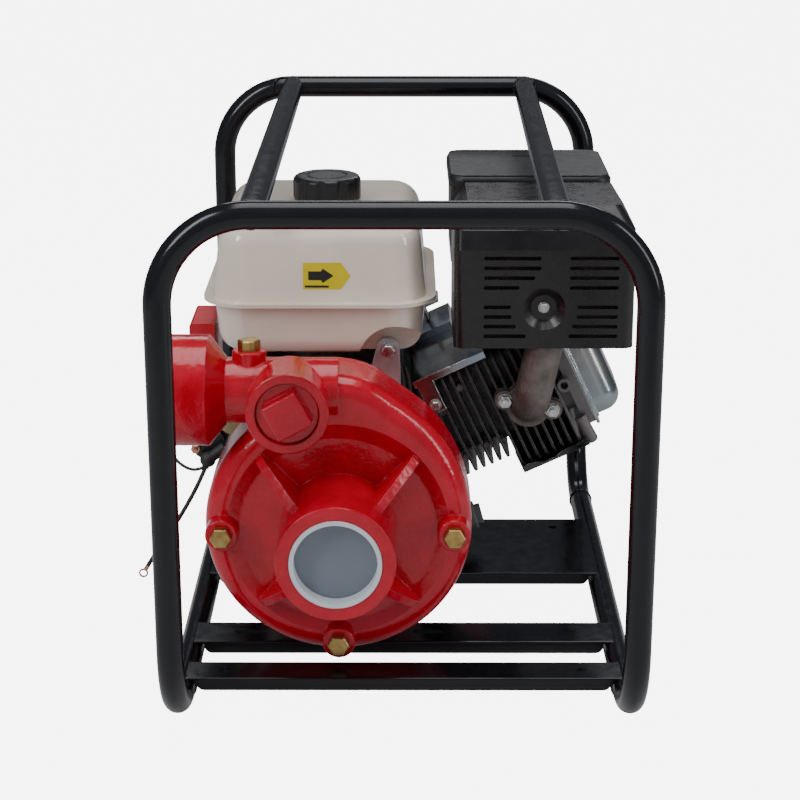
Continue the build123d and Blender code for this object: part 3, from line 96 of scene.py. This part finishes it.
def noise(tree, scale, detail=3.0):
    """Noise over object coordinates, in metres, so the grain keeps its real size."""
    place = tree.nodes.get("place")
    if place is None:
        place = node(tree, "ShaderNodeTexCoord")
        place.name = "place"
    made = node(tree, "ShaderNodeTexNoise", Scale=scale, Detail=detail)
    tree.links.new(place.outputs["Object"], made.inputs["Vector"])
    return made.outputs["Fac"]


def ramp(tree, fac, stops):
    """Colour ramp from (position, colour) stops."""
    made = node(tree, "ShaderNodeValToRGB")
    band = made.color_ramp
    while len(band.elements) < len(stops):
        band.elements.new(0.5)
    for element, (position, colour) in zip(band.elements, stops):
        element.position = position
        element.color = (*colour, 1)
    tree.links.new(fac, made.inputs["Fac"])
    return made.outputs["Color"]


def mapped(tree, fac, low, high, start=0.3, end=0.7):
    """A value that runs from low to high as fac runs from start to end."""
    made = node(tree, "ShaderNodeMapRange")
    for key, value in (("From Min", start), ("From Max", end), ("To Min", low), ("To Max", high)):
        made.inputs[key].default_value = value
    tree.links.new(fac, made.inputs["Value"])
    return made.outputs["Result"]


def mixed(tree, fac, first, second):
    """Two colours mixed by a factor; each is a socket or a plain colour."""
    made = node(tree, "ShaderNodeMix", data_type="RGBA")
    tree.links.new(fac, made.inputs[0])
    for value, socket in ((first, made.inputs[6]), (second, made.inputs[7])):
        if isinstance(value, tuple):
            socket.default_value = (*value, 1)
        else:
            tree.links.new(value, socket)
    return made.outputs[2]


def edge_mask(tree, radius):
    """A value that is 1 on sharp outer and inner edges and 0 on flats."""
    start, end = 0.02, 0.16  # how far the rounded normal turns from the flat one
    bevel = node(tree, "ShaderNodeBevel", samples=4)
    bevel.inputs["Radius"].default_value = radius
    flat = node(tree, "ShaderNodeNewGeometry")
    dot = node(tree, "ShaderNodeVectorMath", operation="DOT_PRODUCT")
    tree.links.new(bevel.outputs[0], dot.inputs[0])
    tree.links.new(flat.outputs["True Normal"], dot.inputs[1])
    return mapped(tree, dot.outputs["Value"], 1, 0, 1 - end, 1 - start)


PATCH_START, PATCH_SPAN = 0.32, 0.36  # the part of the noise's range that patches of colour use
BREAKUP_SCALE = 160.0  # of the noise that breaks up edge wear and painted edge highlights
GLOSS_RATIO = 2.3  # patches of gloss are this much finer than patches of colour


def surface(name, colours, rough=(0.3, 0.4), metal=0.0, coat=0.0, coat_rough=0.06, patch=35.0,
            waves=None, grain=None, rounded=0.6, wear_and_highlight=None, specular=0.5, subsurface=0.0):
    """Principled material: patches of colour, uneven gloss, waves, fine grain and edges recoloured
    as wear, on some looks as a painted highlight.

    waves and grain are (noise scale, height in mm, strength); wear_and_highlight is (colour,
    amount, edge in mm);
    rounded is the radius in mm that edges are shaded with.
    """
    made = bpy.data.materials.new(name)
    made.use_nodes = True
    tree = made.node_tree
    shader = tree.nodes["Principled BSDF"]
    shader.inputs["Metallic"].default_value = metal
    shader.inputs["Coat Weight"].default_value = coat
    shader.inputs["Coat Roughness"].default_value = coat_rough
    shader.inputs["Specular IOR Level"].default_value = specular
    shader.inputs["Subsurface Weight"].default_value = subsurface
    last = len(colours) - 1
    stops = [(PATCH_START + PATCH_SPAN * i / last, colour) for i, colour in enumerate(colours)]
    colour = ramp(tree, noise(tree, patch, 4.0), stops)
    # Edges take another colour: wear on some looks, a painted edge highlight on the fins
    if wear_and_highlight:
        wear_and_highlight_colour, amount, radius = wear_and_highlight
        breakup = mapped(tree, noise(tree, BREAKUP_SCALE), 0.3 * amount, amount, 0.38, 0.6)
        edges = edge_mask(tree, radius * MM)
        factor = node(tree, "ShaderNodeMath", operation="MULTIPLY")
        tree.links.new(breakup, factor.inputs[0])
        tree.links.new(edges, factor.inputs[1])
        colour = mixed(tree, factor.outputs[0], colour, wear_and_highlight_colour)
    tree.links.new(colour, shader.inputs["Base Color"])
    gloss = mapped(tree, noise(tree, patch * GLOSS_RATIO), *rough)
    tree.links.new(gloss, shader.inputs["Roughness"])
    normal = None
    if rounded:
        bevel = node(tree, "ShaderNodeBevel", samples=4)
        bevel.inputs["Radius"].default_value = rounded * MM
        normal = bevel.outputs[0]
    for layer in (waves, grain):
        if layer:
            scale, height, strength = layer
            bump = node(tree, "ShaderNodeBump", Strength=strength, Distance=height * MM)
            tree.links.new(noise(tree, scale, 2.0), bump.inputs["Height"])
            if normal:
                tree.links.new(normal, bump.inputs["Normal"])
            normal = bump.outputs["Normal"]
    if normal:
        tree.links.new(normal, shader.inputs["Normal"])
    return made


looks = {
    "frame_paint": surface(
        "frame_paint", [(0.0035, 0.0035, 0.0045), (0.006, 0.006, 0.008)], (0.12, 0.2),
        specular=0.38, waves=(24, 0.30, 0.25), grain=(420, 0.03, 0.5),
        wear_and_highlight=((0.05, 0.05, 0.05), 0.5, 0.7)),
    "red_paint": surface(
        "red_paint", [(0.46, 0.0, 0.010), (0.58, 0.0, 0.018)], (0.13, 0.2), coat=0.25,
        specular=0.4, waves=(95, 0.7, 0.8), grain=(360, 0.2, 0.9), rounded=2.0,
        wear_and_highlight=((0.75, 0.02, 0.05), 0.5, 1.8)),
    "red_sheet": surface(
        "red_sheet", [(0.46, 0.0, 0.010), (0.56, 0.0, 0.016)], (0.18, 0.26), coat=0.4,
        grain=(420, 0.03, 0.5), rounded=1.0),
    "red_plastic": surface(
        "red_plastic", [(0.48, 0.002, 0.010), (0.58, 0.003, 0.016)], (0.28, 0.36), coat=0.1,
        grain=(1400, 0.02, 0.6), rounded=0.8),
    "dull_brass": surface(
        "dull_brass", [(0.30, 0.19, 0.06), (0.46, 0.31, 0.11), (0.55, 0.38, 0.15)], (0.26, 0.44),
        metal=1.0, patch=90, grain=(700, 0.04, 0.5), wear_and_highlight=((0.75, 0.6, 0.33), 0.7, 0.6)),
    "zinc_bolt": surface(
        "zinc_bolt", [(0.5, 0.49, 0.46), (0.66, 0.65, 0.62)], (0.2, 0.38), metal=1.0, patch=120,
        grain=(900, 0.03, 0.5), rounded=0.4),
    "pale_plastic": surface(
        "pale_plastic", [(0.66, 0.68, 0.70), (0.73, 0.75, 0.77)], (0.38, 0.48), patch=22,
        grain=(900, 0.03, 0.5), rounded=0.5, subsurface=0.08),
    # The lighter edges on the fins are a painted edge highlight
    "engine_paint": surface(
        "engine_paint", [(0.016, 0.014, 0.014), (0.034, 0.029, 0.028)], (0.34, 0.5),
        patch=60, waves=(120, 0.15, 0.5), grain=(650, 0.10, 0.7), rounded=0.9,
        wear_and_highlight=((0.36, 0.32, 0.30), 1.3, 0.9)),
    # The lighter edges on the head's fins are a painted edge highlight
    "head_cast": surface(
        "head_cast", [(0.016, 0.014, 0.014), (0.034, 0.029, 0.028)], (0.34, 0.5),
        patch=60, waves=(120, 0.15, 0.5), grain=(650, 0.12, 0.8), rounded=0.9,
        wear_and_highlight=((0.36, 0.32, 0.30), 1.3, 0.9)),
    "die_cast": surface(
        "die_cast", [(0.36, 0.36, 0.355), (0.50, 0.50, 0.49)], (0.38, 0.52), metal=0.85,
        patch=60, waves=(160, 0.12, 0.4), grain=(800, 0.08, 0.6), rounded=0.8),
    "machined": surface(
        "machined", [(0.42, 0.42, 0.42), (0.55, 0.55, 0.54)], (0.2, 0.34), metal=1.0, patch=80,
        grain=(900, 0.03, 0.5), rounded=0.4),
    "blued_zinc": surface(
        "blued_zinc", [(0.19, 0.27, 0.32), (0.30, 0.34, 0.34), (0.38, 0.37, 0.34),
                       (0.24, 0.30, 0.36)], (0.14, 0.26), metal=1.0, patch=9,
        waves=(30, 0.3, 0.3), grain=(900, 0.015, 0.4), rounded=1.2,
        wear_and_highlight=((0.80, 0.88, 0.92), 1.2, 1.4)),
    "cast_elbow": surface(
        "cast_elbow", [(0.12, 0.095, 0.082), (0.16, 0.135, 0.12), (0.20, 0.17, 0.155)],
        (0.42, 0.55), metal=0.6, patch=70, waves=(190, 0.35, 0.7), grain=(560, 0.4, 1.0),
        rounded=1.4),
    "guard_paint": surface(
        "guard_paint", [(0.0065, 0.0048, 0.0046), (0.010, 0.0075, 0.007)], (0.24, 0.34), coat=0.1,
        coat_rough=0.2, grain=(1100, 0.05, 0.5), rounded=0.5, wear_and_highlight=((0.03, 0.024, 0.02), 0.4, 0.4)),
    "tank_paint": surface(
        "tank_paint", [(0.80, 0.70, 0.565), (0.86, 0.765, 0.635)], (0.12, 0.18), coat=0.6,
        coat_rough=0.04, patch=14, waves=(22, 0.35, 0.25), grain=(380, 0.02, 0.4), rounded=1.0),
    "grained_plastic": surface(
        "grained_plastic", [(0.006, 0.006, 0.007), (0.010, 0.010, 0.011)], (0.4, 0.5),
        patch=50, waves=(420, 0.12, 0.5), grain=(1500, 0.07, 0.8), rounded=0.8),
    "smooth_plastic": surface(
        "smooth_plastic", [(0.007, 0.007, 0.008), (0.012, 0.012, 0.013)], (0.26, 0.36),
        patch=50, grain=(1300, 0.03, 0.5), rounded=0.8),
    "grey_plastic": surface(
        "grey_plastic", [(0.13, 0.13, 0.135), (0.17, 0.17, 0.175)], (0.4, 0.5), patch=60,
        grain=(1200, 0.05, 0.6), rounded=0.6),
    "yellow_chromate": surface(
        "yellow_chromate", [(0.50, 0.36, 0.12), (0.66, 0.53, 0.24), (0.48, 0.47, 0.26),
                            (0.62, 0.40, 0.28)], (0.2, 0.34), metal=1.0, patch=34,
        grain=(900, 0.02, 0.4)),
    "copper": surface(
        "copper", [(0.55, 0.28, 0.18), (0.68, 0.38, 0.26)], (0.22, 0.36), metal=1.0, patch=200,
        grain=(1500, 0.02, 0.5), rounded=0.25),
    "rubber": surface(
        "rubber", [(0.012, 0.012, 0.012), (0.02, 0.02, 0.02)], (0.5, 0.64), patch=120,
        grain=(1600, 0.05, 0.6), rounded=0.5),
    "forged": surface(
        "forged", [(0.22, 0.21, 0.2), (0.36, 0.35, 0.34)], (0.3, 0.45), metal=1.0, patch=70,
        grain=(700, 0.06, 0.5)),
    "foam": surface(
        "foam", [(0.34, 0.29, 0.17), (0.45, 0.39, 0.25)], (0.8, 0.95), patch=200,
        grain=(1300, 0.6, 1.0), rounded=0),
    "gloss_black": surface(
        "gloss_black", [(0.004, 0.004, 0.005), (0.007, 0.007, 0.008)], (0.1, 0.18), coat=0.4,
        waves=(60, 0.3, 0.3), grain=(500, 0.03, 0.4), wear_and_highlight=((0.2, 0.2, 0.2), 0.6, 0.7)),
    "fin_edge": surface(
        "fin_edge", [(0.06, 0.055, 0.052), (0.11, 0.10, 0.095)], (0.4, 0.5), metal=0.4,
        patch=90, grain=(800, 0.06, 0.5)),
    "machined_iron": surface(
        "machined_iron", [(0.16, 0.13, 0.11), (0.3, 0.27, 0.24)], (0.3, 0.45), metal=0.9,
        patch=90, grain=(900, 0.05, 0.5)),
    "rope": surface(
        "rope", [(0.02, 0.02, 0.022), (0.045, 0.045, 0.05)], (0.6, 0.8), patch=500,
        grain=(2200, 0.12, 0.9), rounded=0),
    "decal_yellow": surface(
        "decal_yellow", [(0.62, 0.50, 0.0), (0.70, 0.57, 0.004)], (0.28, 0.38), patch=60,
        grain=(1200, 0.01, 0.4), rounded=0),
    "decal_black": surface(
        "decal_black", [(0.012, 0.012, 0.01), (0.02, 0.02, 0.016)], (0.3, 0.4), patch=60,
        grain=(1200, 0.01, 0.4), rounded=0),
    "burnt_sheet": surface(
        "burnt_sheet", [(0.02, 0.016, 0.014), (0.05, 0.038, 0.03)], (0.5, 0.7), metal=0.6,
        patch=60, grain=(700, 0.06, 0.5)),
    "galvanised": surface(
        "galvanised", [(0.36, 0.37, 0.38), (0.55, 0.55, 0.54)], (0.28, 0.45), metal=1.0, patch=48,
        grain=(700, 0.03, 0.4)),
}

painted = {
    "frame_paint": "front_hoop rear_hoop top_bars bottom_rails front_crossbar slotted_crossbar "
                   "engine_plate",
    "red_paint": "pump_casing pump_bracket port_plug",
    "red_sheet": "blower_housing recoil_cover",
    "red_plastic": "switch_box",
    "dull_brass": "brass_plugs",
    "zinc_bolt": "pump_bolts engine_bolts cover_bolts shaft_nuts ignition_key",
    "pale_plastic": "suction_cap",
    "engine_paint": "cylinder_block",
    "head_cast": "cylinder_head",
    "die_cast": "crankcase_cover tank_bracket carburettor connecting_rod",
    "machined": "piston bearings_and_seat crankshaft",
    "blued_zinc": "cylinder_shroud valve_cover",
    "galvanised": "control_brackets choke_lever throttle_lever starter_cup",
    "burnt_sheet": "muffler",
    "cast_elbow": "exhaust_elbow",
    "forged": "flywheel impeller_and_seal camshaft",
    "guard_paint": "muffler_guard",
    "tank_paint": "tank_upper_shell tank_lower_shell",
    "grained_plastic": "air_cleaner_lid",
    "smooth_plastic": "fuel_cap intake_base starter_handle starter_solenoid recoil_pulley "
                      "cooling_fan ignition_parts",
    "grey_plastic": "oil_caps",
    "yellow_chromate": "starter_motor",
    "copper": "ring_terminal solenoid_terminals",
    "rubber": "terminal_boot battery_lead switch_lead cylinder_baffle",
    "foam": "air_filter_element",
}


def shade_past(look, direction, edge, tint, soft):
    """Tints a look past a plane square to a direction, with a step soft metres wide."""
    tree = looks[look].node_tree
    shader = tree.nodes["Principled BSDF"]
    reach = node(tree, "ShaderNodeVectorMath", operation="DOT_PRODUCT")
    tree.links.new(tree.nodes["place"].outputs["Object"], reach.inputs[0])
    reach.inputs[1].default_value = direction
    fac = mapped(tree, reach.outputs["Value"], 0, 1, edge, edge + soft)
    before = shader.inputs["Base Color"].links[0].from_socket
    tree.links.new(mixed(tree, fac, before, tint), shader.inputs["Base Color"])


# The transport plug's disc, this far behind its front edge, is tinted greyer than its rim: partly
# the disc's own grey, partly painted shade of its recess
PLUG_GREY_AND_SHADED_DISC_DEPTH = 0.0138
shade_past("pale_plastic", (0, 1, 0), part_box("suction_cap")[0][1] + PLUG_GREY_AND_SHADED_DISC_DEPTH,
           (0.20, 0.225, 0.26), soft=0.0008)
# The head is bare and pale from its last fin to the valve cover
LAST_FIN_S = 237
shade_past("head_cast", BARREL, along(LAST_FIN_S, 0, 0).dot(BARREL), (0.16, 0.145, 0.142),
           soft=0.002)

for look, names in painted.items():
    for name in names.split():
        mesh = nodes[name].data
        mesh.materials.clear()
        mesh.materials.append(looks[look])


# ------------------------------------------------------------------ cords

def cord_curve(name, points, diameter, look):
    """Smooth cord whose control points are the route's points, in millimetres."""
    data = bpy.data.curves.new(name, "CURVE")
    data.dimensions = "3D"
    spline = data.splines.new("NURBS")
    spline.points.add(len(points) - 1)
    for point, place in zip(spline.points, points):
        point.co = (place[0] * MM, place[1] * MM, place[2] * MM, 1)
    spline.order_u = 3
    spline.use_endpoint_u = True  # the cord starts and ends at the route's own ends
    spline.resolution_u = 12
    data.bevel_depth = diameter * MM / 2
    data.bevel_resolution = 5
    data.use_fill_caps = True
    data.materials.append(looks[look])
    made = bpy.data.objects.new(name, data)
    bpy.context.scene.collection.objects.link(made)
    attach(made, "base")
    return made


BATTERY_LEAD = [
    (-210.5, -33, 158), (-216.5, -41, 145), (-225, -53, 130.5), (-236, -67, 114),
    (-247, -80, 100), (-257.2, -89, 87.2), (-267.5, -89, 70),
]
SWITCH_LEAD = [
    (-209.5, -26.5, 158), (-220.5, -25, 152), (-233, -22, 154.5), (-244, -16, 161.5),
    (-252, -6, 173), (-254, 6, 190), (-250, 20, 210), (-241, 34, 229), (-231, 44, 245),
    (-226, 48, 258),
]
battery = cord_curve("battery_cable", BATTERY_LEAD, 4.6, "rubber")
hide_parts("battery_lead")
switch = cord_curve("switch_cable", SWITCH_LEAD, 3.5, "rubber")
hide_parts("switch_lead")


# ------------------------------------------------------------------ pieces

def piece(name, mesh, look, smooth, bevel=0.0, body="base"):
    """Finishes a bmesh as a named piece, smooth below an angle in degrees and bevelled in mm.

    A piece to be blended has no body.
    """
    data = bpy.data.meshes.new(name)
    bmesh.ops.recalc_face_normals(mesh, faces=mesh.faces)
    mesh.to_mesh(data)
    mesh.free()
    data.materials.append(looks[look])
    data.shade_smooth()
    data.set_sharp_from_angle(angle=math.radians(smooth))
    made = bpy.data.objects.new(name, data)
    bpy.context.scene.collection.objects.link(made)
    if bevel:
        rounding = made.modifiers.new("rounding", "BEVEL")
        rounding.width = bevel * MM
        rounding.segments = 2
        rounding.limit_method = "ANGLE"
        rounding.angle_limit = math.radians(35)
    if body:
        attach(made, body)
    return made


def prism(mesh, points, offset):
    """Closed prism from a polygon of points swept by an offset."""
    low = [mesh.verts.new(p) for p in points]
    high = [mesh.verts.new(p + offset) for p in points]
    mesh.faces.new(low)
    mesh.faces.new(list(reversed(high)))
    for i, first in enumerate(low):
        j = (i + 1) % len(low)
        mesh.faces.new((first, high[i], high[j], low[j]))


def spun(mesh, centre, axis, profile, steps):
    """Closed surface of revolution: profile is a loop of (distance along axis, radius) in mm."""
    axis = Vector(axis).normalized()
    side = axis.orthogonal().normalized()
    other = axis.cross(side)
    rings = []
    for i in range(steps):
        angle = 2 * math.pi * i / steps
        out = side * math.cos(angle) + other * math.sin(angle)
        rings.append([mesh.verts.new(Vector(centre) + axis * a * MM + out * r * MM)
                      for a, r in profile])
    count = len(profile)
    for i, ring in enumerate(rings):
        following = rings[(i + 1) % steps]
        for j in range(count):
            k = (j + 1) % count
            mesh.faces.new((ring[j], ring[k], following[k], following[j]))


def tube(mesh, points, radius, steps, closed=False):
    """Round bead or rod along points; the radius in mm may be a list, one for each point."""
    count = len(points)
    rings = []
    for i, point in enumerate(points):
        before = points[i - 1] if i or closed else points[i]
        after = points[(i + 1) % count] if i + 1 < count or closed else points[i]
        forward = (after - before).normalized()
        side = forward.cross(Vector((0.31, 0.17, 0.93))).normalized()
        up = forward.cross(side)
        size = radius[i] if isinstance(radius, list) else radius
        rings.append([mesh.verts.new(point + (side * math.cos(a) + up * math.sin(a)) * size * MM)
                      for a in (2 * math.pi * k / steps for k in range(steps))])
    pairs = count if closed else count - 1
    for i in range(pairs):
        first, second = rings[i], rings[(i + 1) % count]
        for k in range(steps):
            n = (k + 1) % steps
            mesh.faces.new((first[k], first[n], second[n], second[k]))
    if not closed:
        mesh.faces.new(list(reversed(rings[0])))
        mesh.faces.new(rings[-1])


# The frame, in millimetres
TUBE_R = 12.5
RAIL_X = 215
HOOP_Y = 350  # from the frame's middle to either hoop's middle plane
# x of each top bar's bead, and which hoop. The left bar runs straight back, so its bead on the
# rear hoop is 10 mm too far out.
BAR_BEADS = ((-132, -1), (132, -1), (-142, 1), (142, 1))


def rippled(size, ripple, count):
    """Radii that alternate along a weld bead."""
    return [size + ripple * (i % 2) for i in range(count)]


def weld_beads():
    """Rippled weld beads where the frame's tubes and channels meet."""
    mesh = bmesh.new()
    hoop_inside = abs(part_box("front_hoop")[1][1])
    out = TUBE_R + 0.2
    for side in (-1, 1):
        for end in (-1, 1):
            points = []
            for i in range(49):
                a = math.radians(-40 + 260 * i / 48)
                points.append(Vector(((side * RAIL_X + out * math.cos(a)) * MM,
                                      end * hoop_inside, (TUBE_R + out * math.sin(a)) * MM)))
            tube(mesh, points, rippled(1.0, 0.3, 49), 8)
    for name in ("front_crossbar", "slotted_crossbar", "engine_plate"):
        low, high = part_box(name)
        for side, x in ((-1, low[0]), (1, high[0])):
            for y in (low[1], high[1]):
                top = Vector((x - side * 0.001, y, high[2] - 0.0005))
                drop = Vector((0, 0, -(high[2] - low[2]) * 0.8))
                tube(mesh, [top + drop * i / 14 for i in range(15)], rippled(1.3, 0.35, 15), 8)
    hoop_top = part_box("front_hoop")[1][2] - TUBE_R * MM
    # A ring round each bar's end that follows the hoop's tube and stays below its top
    ring_r, ring_top, seat_r = 12.9, 11.3, 12.7
    for x, end in BAR_BEADS:
        points = []
        for i in range(60):
            a = 2 * math.pi * i / 60
            across, up = ring_r * math.cos(a), min(ring_r * math.sin(a), ring_top)
            back = math.sqrt(max(seat_r**2 - min(abs(up), seat_r - 0.1)**2, 0.3))
            points.append(Vector(((x + across) * MM, end * (HOOP_Y - back) * MM,
                                  hoop_top + up * MM)))
        tube(mesh, points, rippled(0.9, 0.3, 60), 8, closed=True)
    piece("weld_beads", mesh, "frame_paint", smooth=60)


def head_details():
    """Black sheet that guides air under the head, and the pin marks that bridge the fins."""
    mesh = bmesh.new()
    # Across the cylinder (t), along it (s) and the front plane (y), as in along()
    low_t, side_t, start_s, end_s, front = -90.5, -66, 170.5, 247, -17.5
    bottom = [(start_s, low_t), (end_s, low_t), (end_s, low_t + 1.3), (start_s, low_t + 1.3)]
    side = [(start_s, low_t), (start_s + 1.4, low_t), (start_s + 1.4, side_t), (start_s, side_t)]
    lip = [(start_s, low_t), (start_s, side_t), (start_s + 1.5, side_t), (172, -84),
           (178, -82.5), (186, -83.5), (194, -87.2), (206, -87.6), (214, -85.2), (222, -83.4),
           (230, -84.4), (238, -83.6), (end_s, -81.5), (end_s, low_t)]
    for outline, depth in ((bottom, 0.135), (lip, 0.0014), (side, 0.13)):
        prism(mesh, [along(s, t, front) for s, t in outline], Vector((0, depth, 0)))
    piece("head_air_guide", mesh, "gloss_black", smooth=30, bevel=0.5)
    mesh = bmesh.new()
    pin = [(0, 0.2), (-0.5, 3.2), (0, 3.6), (14, 3.6), (14, 0.2)]
    for x, z in ((58.7, 241), (88.4, 177), (41, 214), (66, 162.5)):
        spun(mesh, (x * MM, -0.0155, z * MM), (0, 1, 0), pin, 24)
    piece("fin_pin_marks", mesh, "fin_edge", smooth=40)


def rubber_ribs():
    """Upright rubber ribs between the fuel tank and the plated sheet."""
    mesh = bmesh.new()
    for i in range(4):
        foot_x, y, top_z, drop = -13 + 6.4 * i, -30 + 2 * i, 286 - 6 * i, 36 - 2 * i
        path = []
        for k in range(10):
            down = k / 9
            lean = 5.5 * (1 - down) ** 1.7
            path.append(Vector((foot_x - lean, y, top_z - drop * down)) * MM)
        tube(mesh, path, 2.5, 12)
    piece("tank_rubber_ribs", mesh, "rubber", smooth=60)


def starter_rope():
    """Braided rope from the recoil cover's eyelet to the handle, and where its blend runs."""
    pull = Vector((-0.2, 0, 0.98)).normalized()
    back = Vector((0, 1, 0))
    side = back.cross(pull)
    root = CRANK + back * 0.234 - side * 0.062  # where the rope leaves the pulley
    start, length, turns = 0.044, 0.048, 60 / 9
    mesh = bmesh.new()
    for strand in range(3):
        points = []
        for i in range(61):
            a = 2 * math.pi * (turns * i / 60 + strand / 3)
            swing = side * math.cos(a) + back * math.sin(a)
            points.append(root + pull * (start + length * i / 60) + swing * 0.0009)
        tube(mesh, points, 1.15, 8)
    made = piece("starter_rope", mesh, "rope", smooth=80, body=None)
    return made, root + pull * 0.063, root + pull * 0.082


def port_threads():
    """Thread crests inside the discharge socket."""
    mesh = bmesh.new()
    _, port_y, port_z = frame["record"]["mounts"][0]["pos_m"]
    mouth = Vector((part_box("pump_casing")[0][0], port_y, port_z))
    root_r, crest_r = 44.0, 42.9
    for i in range(11):
        at = 3 + 2.6 * i
        crest = [(at - 1.1, root_r), (at - 0.25, crest_r), (at + 0.25, crest_r),
                 (at + 1.1, root_r)]
        spun(mesh, mouth, (1, 0, 0), crest, 96)
    piece("port_threads", mesh, "machined_iron", smooth=30)


def arrow_decal():
    """Plain yellow arrow on the front of the fuel tank, with a black bar and a black arrow."""
    tank = nodes["tank_upper_shell"]

    def on_tank(x, z, lift):
        """The tank's front face at x and z, lifted off it; all in millimetres."""
        _, place, normal, _ = tank.ray_cast(Vector((x * MM, -0.3, z * MM)), Vector((0, 1, 0)))
        return place + normal * lift * MM

    def patch(name, outline, lift, look):
        """A sheet that follows the tank inside an outline of (x, z) points, in columns."""
        mesh = bmesh.new()
        rows, columns = 10, 14
        left = min(x for x, _ in outline)
        right = max(x for x, _ in outline)
        grid = []
        for i in range(columns + 1):
            x = left + (right - left) * i / columns
            crossings = []
            for k, (xa, za) in enumerate(outline):
                xb, zb = outline[(k + 1) % len(outline)]
                if xa != xb and min(xa, xb) - 1e-6 <= x <= max(xa, xb) + 1e-6:
                    crossings.append(za + (zb - za) * (x - xa) / (xb - xa))
            z0, z1 = min(crossings), max(crossings)
            grid.append([mesh.verts.new(on_tank(x, z0 + (z1 - z0) * j / rows, lift))
                         for j in range(rows + 1)])
        for i in range(columns):
            for j in range(rows):
                mesh.faces.new((grid[i][j], grid[i + 1][j], grid[i + 1][j + 1], grid[i][j + 1]))
        bmesh.ops.remove_doubles(mesh, verts=mesh.verts, dist=1e-6)
        piece(name, mesh, look, smooth=60)

    patch("tank_arrow", [(-103.5, 356.5), (-64.5, 356.5), (-54.4, 370.2), (-64.5, 383.9),
                         (-103.5, 383.9)], 0.15, "decal_yellow")
    patch("tank_arrow_bar", [(-101.5, 358.3), (-77, 358.3), (-77, 360.6), (-101.5, 360.6)],
          0.25, "decal_black")
    patch("tank_arrow_mark", [(-98, 366), (-84, 366), (-84, 362.5), (-72, 370.5), (-84, 378.5),
                              (-84, 375), (-98, 375)], 0.25, "decal_black")


weld_beads()
head_details()
rubber_ribs()
port_threads()
arrow_decal()
rope, rope_start, rope_end = starter_rope()
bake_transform(rope)


# ------------------------------------------------------------------ stage

def area_light(name, place, target_z, size, power):
    """White rectangular light at a place in metres, aimed at a height on the object's axis."""
    data = bpy.data.lights.new(name, "AREA")
    data.shape = "RECTANGLE"
    data.size, data.size_y = size
    data.energy = power
    made = bpy.data.objects.new(name, data)
    made.location = place
    aim = Vector((0, 0, target_z)) - Vector(place)
    made.rotation_euler = aim.to_track_quat("-Z", "Y").to_euler()
    bpy.context.scene.collection.objects.link(made)


def camera_ray(tree):
    """The socket that is 1 where the camera sees a surface itself, 0 for all other light."""
    return node(tree, "ShaderNodeLightPath").outputs["Is Camera Ray"]


def either_shader(tree, fac, first, second, output):
    """Mixes two shaders by a factor into a tree's output."""
    mix = node(tree, "ShaderNodeMixShader")
    for source, socket in ((fac, 0), (first.outputs[0], 1), (second.outputs[0], 2)):
        tree.links.new(source, mix.inputs[socket])
    tree.links.new(mix.outputs[0], tree.nodes[output].inputs["Surface"])


FLOOR_REACH = 6  # metres from the object to the floor's edges
PAPER_GLOW, BACKDROP_GLOW, SKY_STRENGTH = 8.0, 6.6, 0.75
floor_corners = [(x * FLOOR_REACH, y * FLOOR_REACH, 0)
                 for x, y in ((-1, -1), (1, -1), (1, 1), (-1, 1))]
floor_data = bpy.data.meshes.new("floor")
floor_data.from_pydata(floor_corners, [], [(0, 1, 2, 3)])
paper = surface("floor_paint", [(0.62, 0.62, 0.62), (0.65, 0.65, 0.65)], (0.6, 0.7), patch=2,
                rounded=0)
# The paper glows white to the camera only, so it doesn't wash out the tubes above it
paper_tree = paper.node_tree
glowing = node(paper_tree, "ShaderNodeEmission", Strength=PAPER_GLOW)
either_shader(paper_tree, mapped(paper_tree, camera_ray(paper_tree), 0.01, 0.82, 0, 1),
              paper_tree.nodes["Principled BSDF"], glowing, "Material Output")
floor_data.materials.append(paper)
floor = bpy.data.objects.new("floor", floor_data)
bpy.context.scene.collection.objects.link(floor)

world = bpy.data.worlds.new("studio")
bpy.context.scene.world = world
world.use_nodes = True
sky = world.node_tree
lighting = sky.nodes["Background"]
lighting.inputs["Strength"].default_value = SKY_STRENGTH
sky_place = node(sky, "ShaderNodeTexCoord")
heading = node(sky, "ShaderNodeSeparateXYZ")
sky.links.new(sky_place.outputs["Generated"], heading.inputs[0])
glow = ramp(sky, mapped(sky, heading.outputs["Z"], 0, 1, -0.2, 1.0),
            [(0.0, (0.30, 0.25, 0.24)), (0.17, (0.34, 0.34, 0.36)), (0.45, (0.26, 0.29, 0.36)),
             (1.0, (0.40, 0.43, 0.50))])
# Darker behind the object than in front of it
rear = mapped(sky, heading.outputs["Y"], 1.5, 0.42, -0.7, 0.7)
dimmed = node(sky, "ShaderNodeVectorMath", operation="SCALE")
sky.links.new(glow, dimmed.inputs[0])
sky.links.new(rear, dimmed.inputs["Scale"])
sky.links.new(dimmed.outputs[0], lighting.inputs["Color"])
# The camera sees plain white behind the object
backdrop = node(sky, "ShaderNodeBackground", Strength=BACKDROP_GLOW, Color=(1, 1, 1, 1))
either_shader(sky, camera_ray(sky), lighting, backdrop, "World Output")
# Name, place, height aimed at, size and power
for light in (("key", (-1.5, -1.3, 1.7), 0.25, (0.5, 1.5), 24),
              ("fill", (1.8, -0.9, 1.1), 0.25, (0.35, 1.6), 13),
              ("top", (0, -0.1, 2.3), 0.2, (1.2, 1.6), 24),
              ("back", (0.2, 2.2, 1.6), 0.3, (2.0, 0.5), 9)):
    area_light(*light)
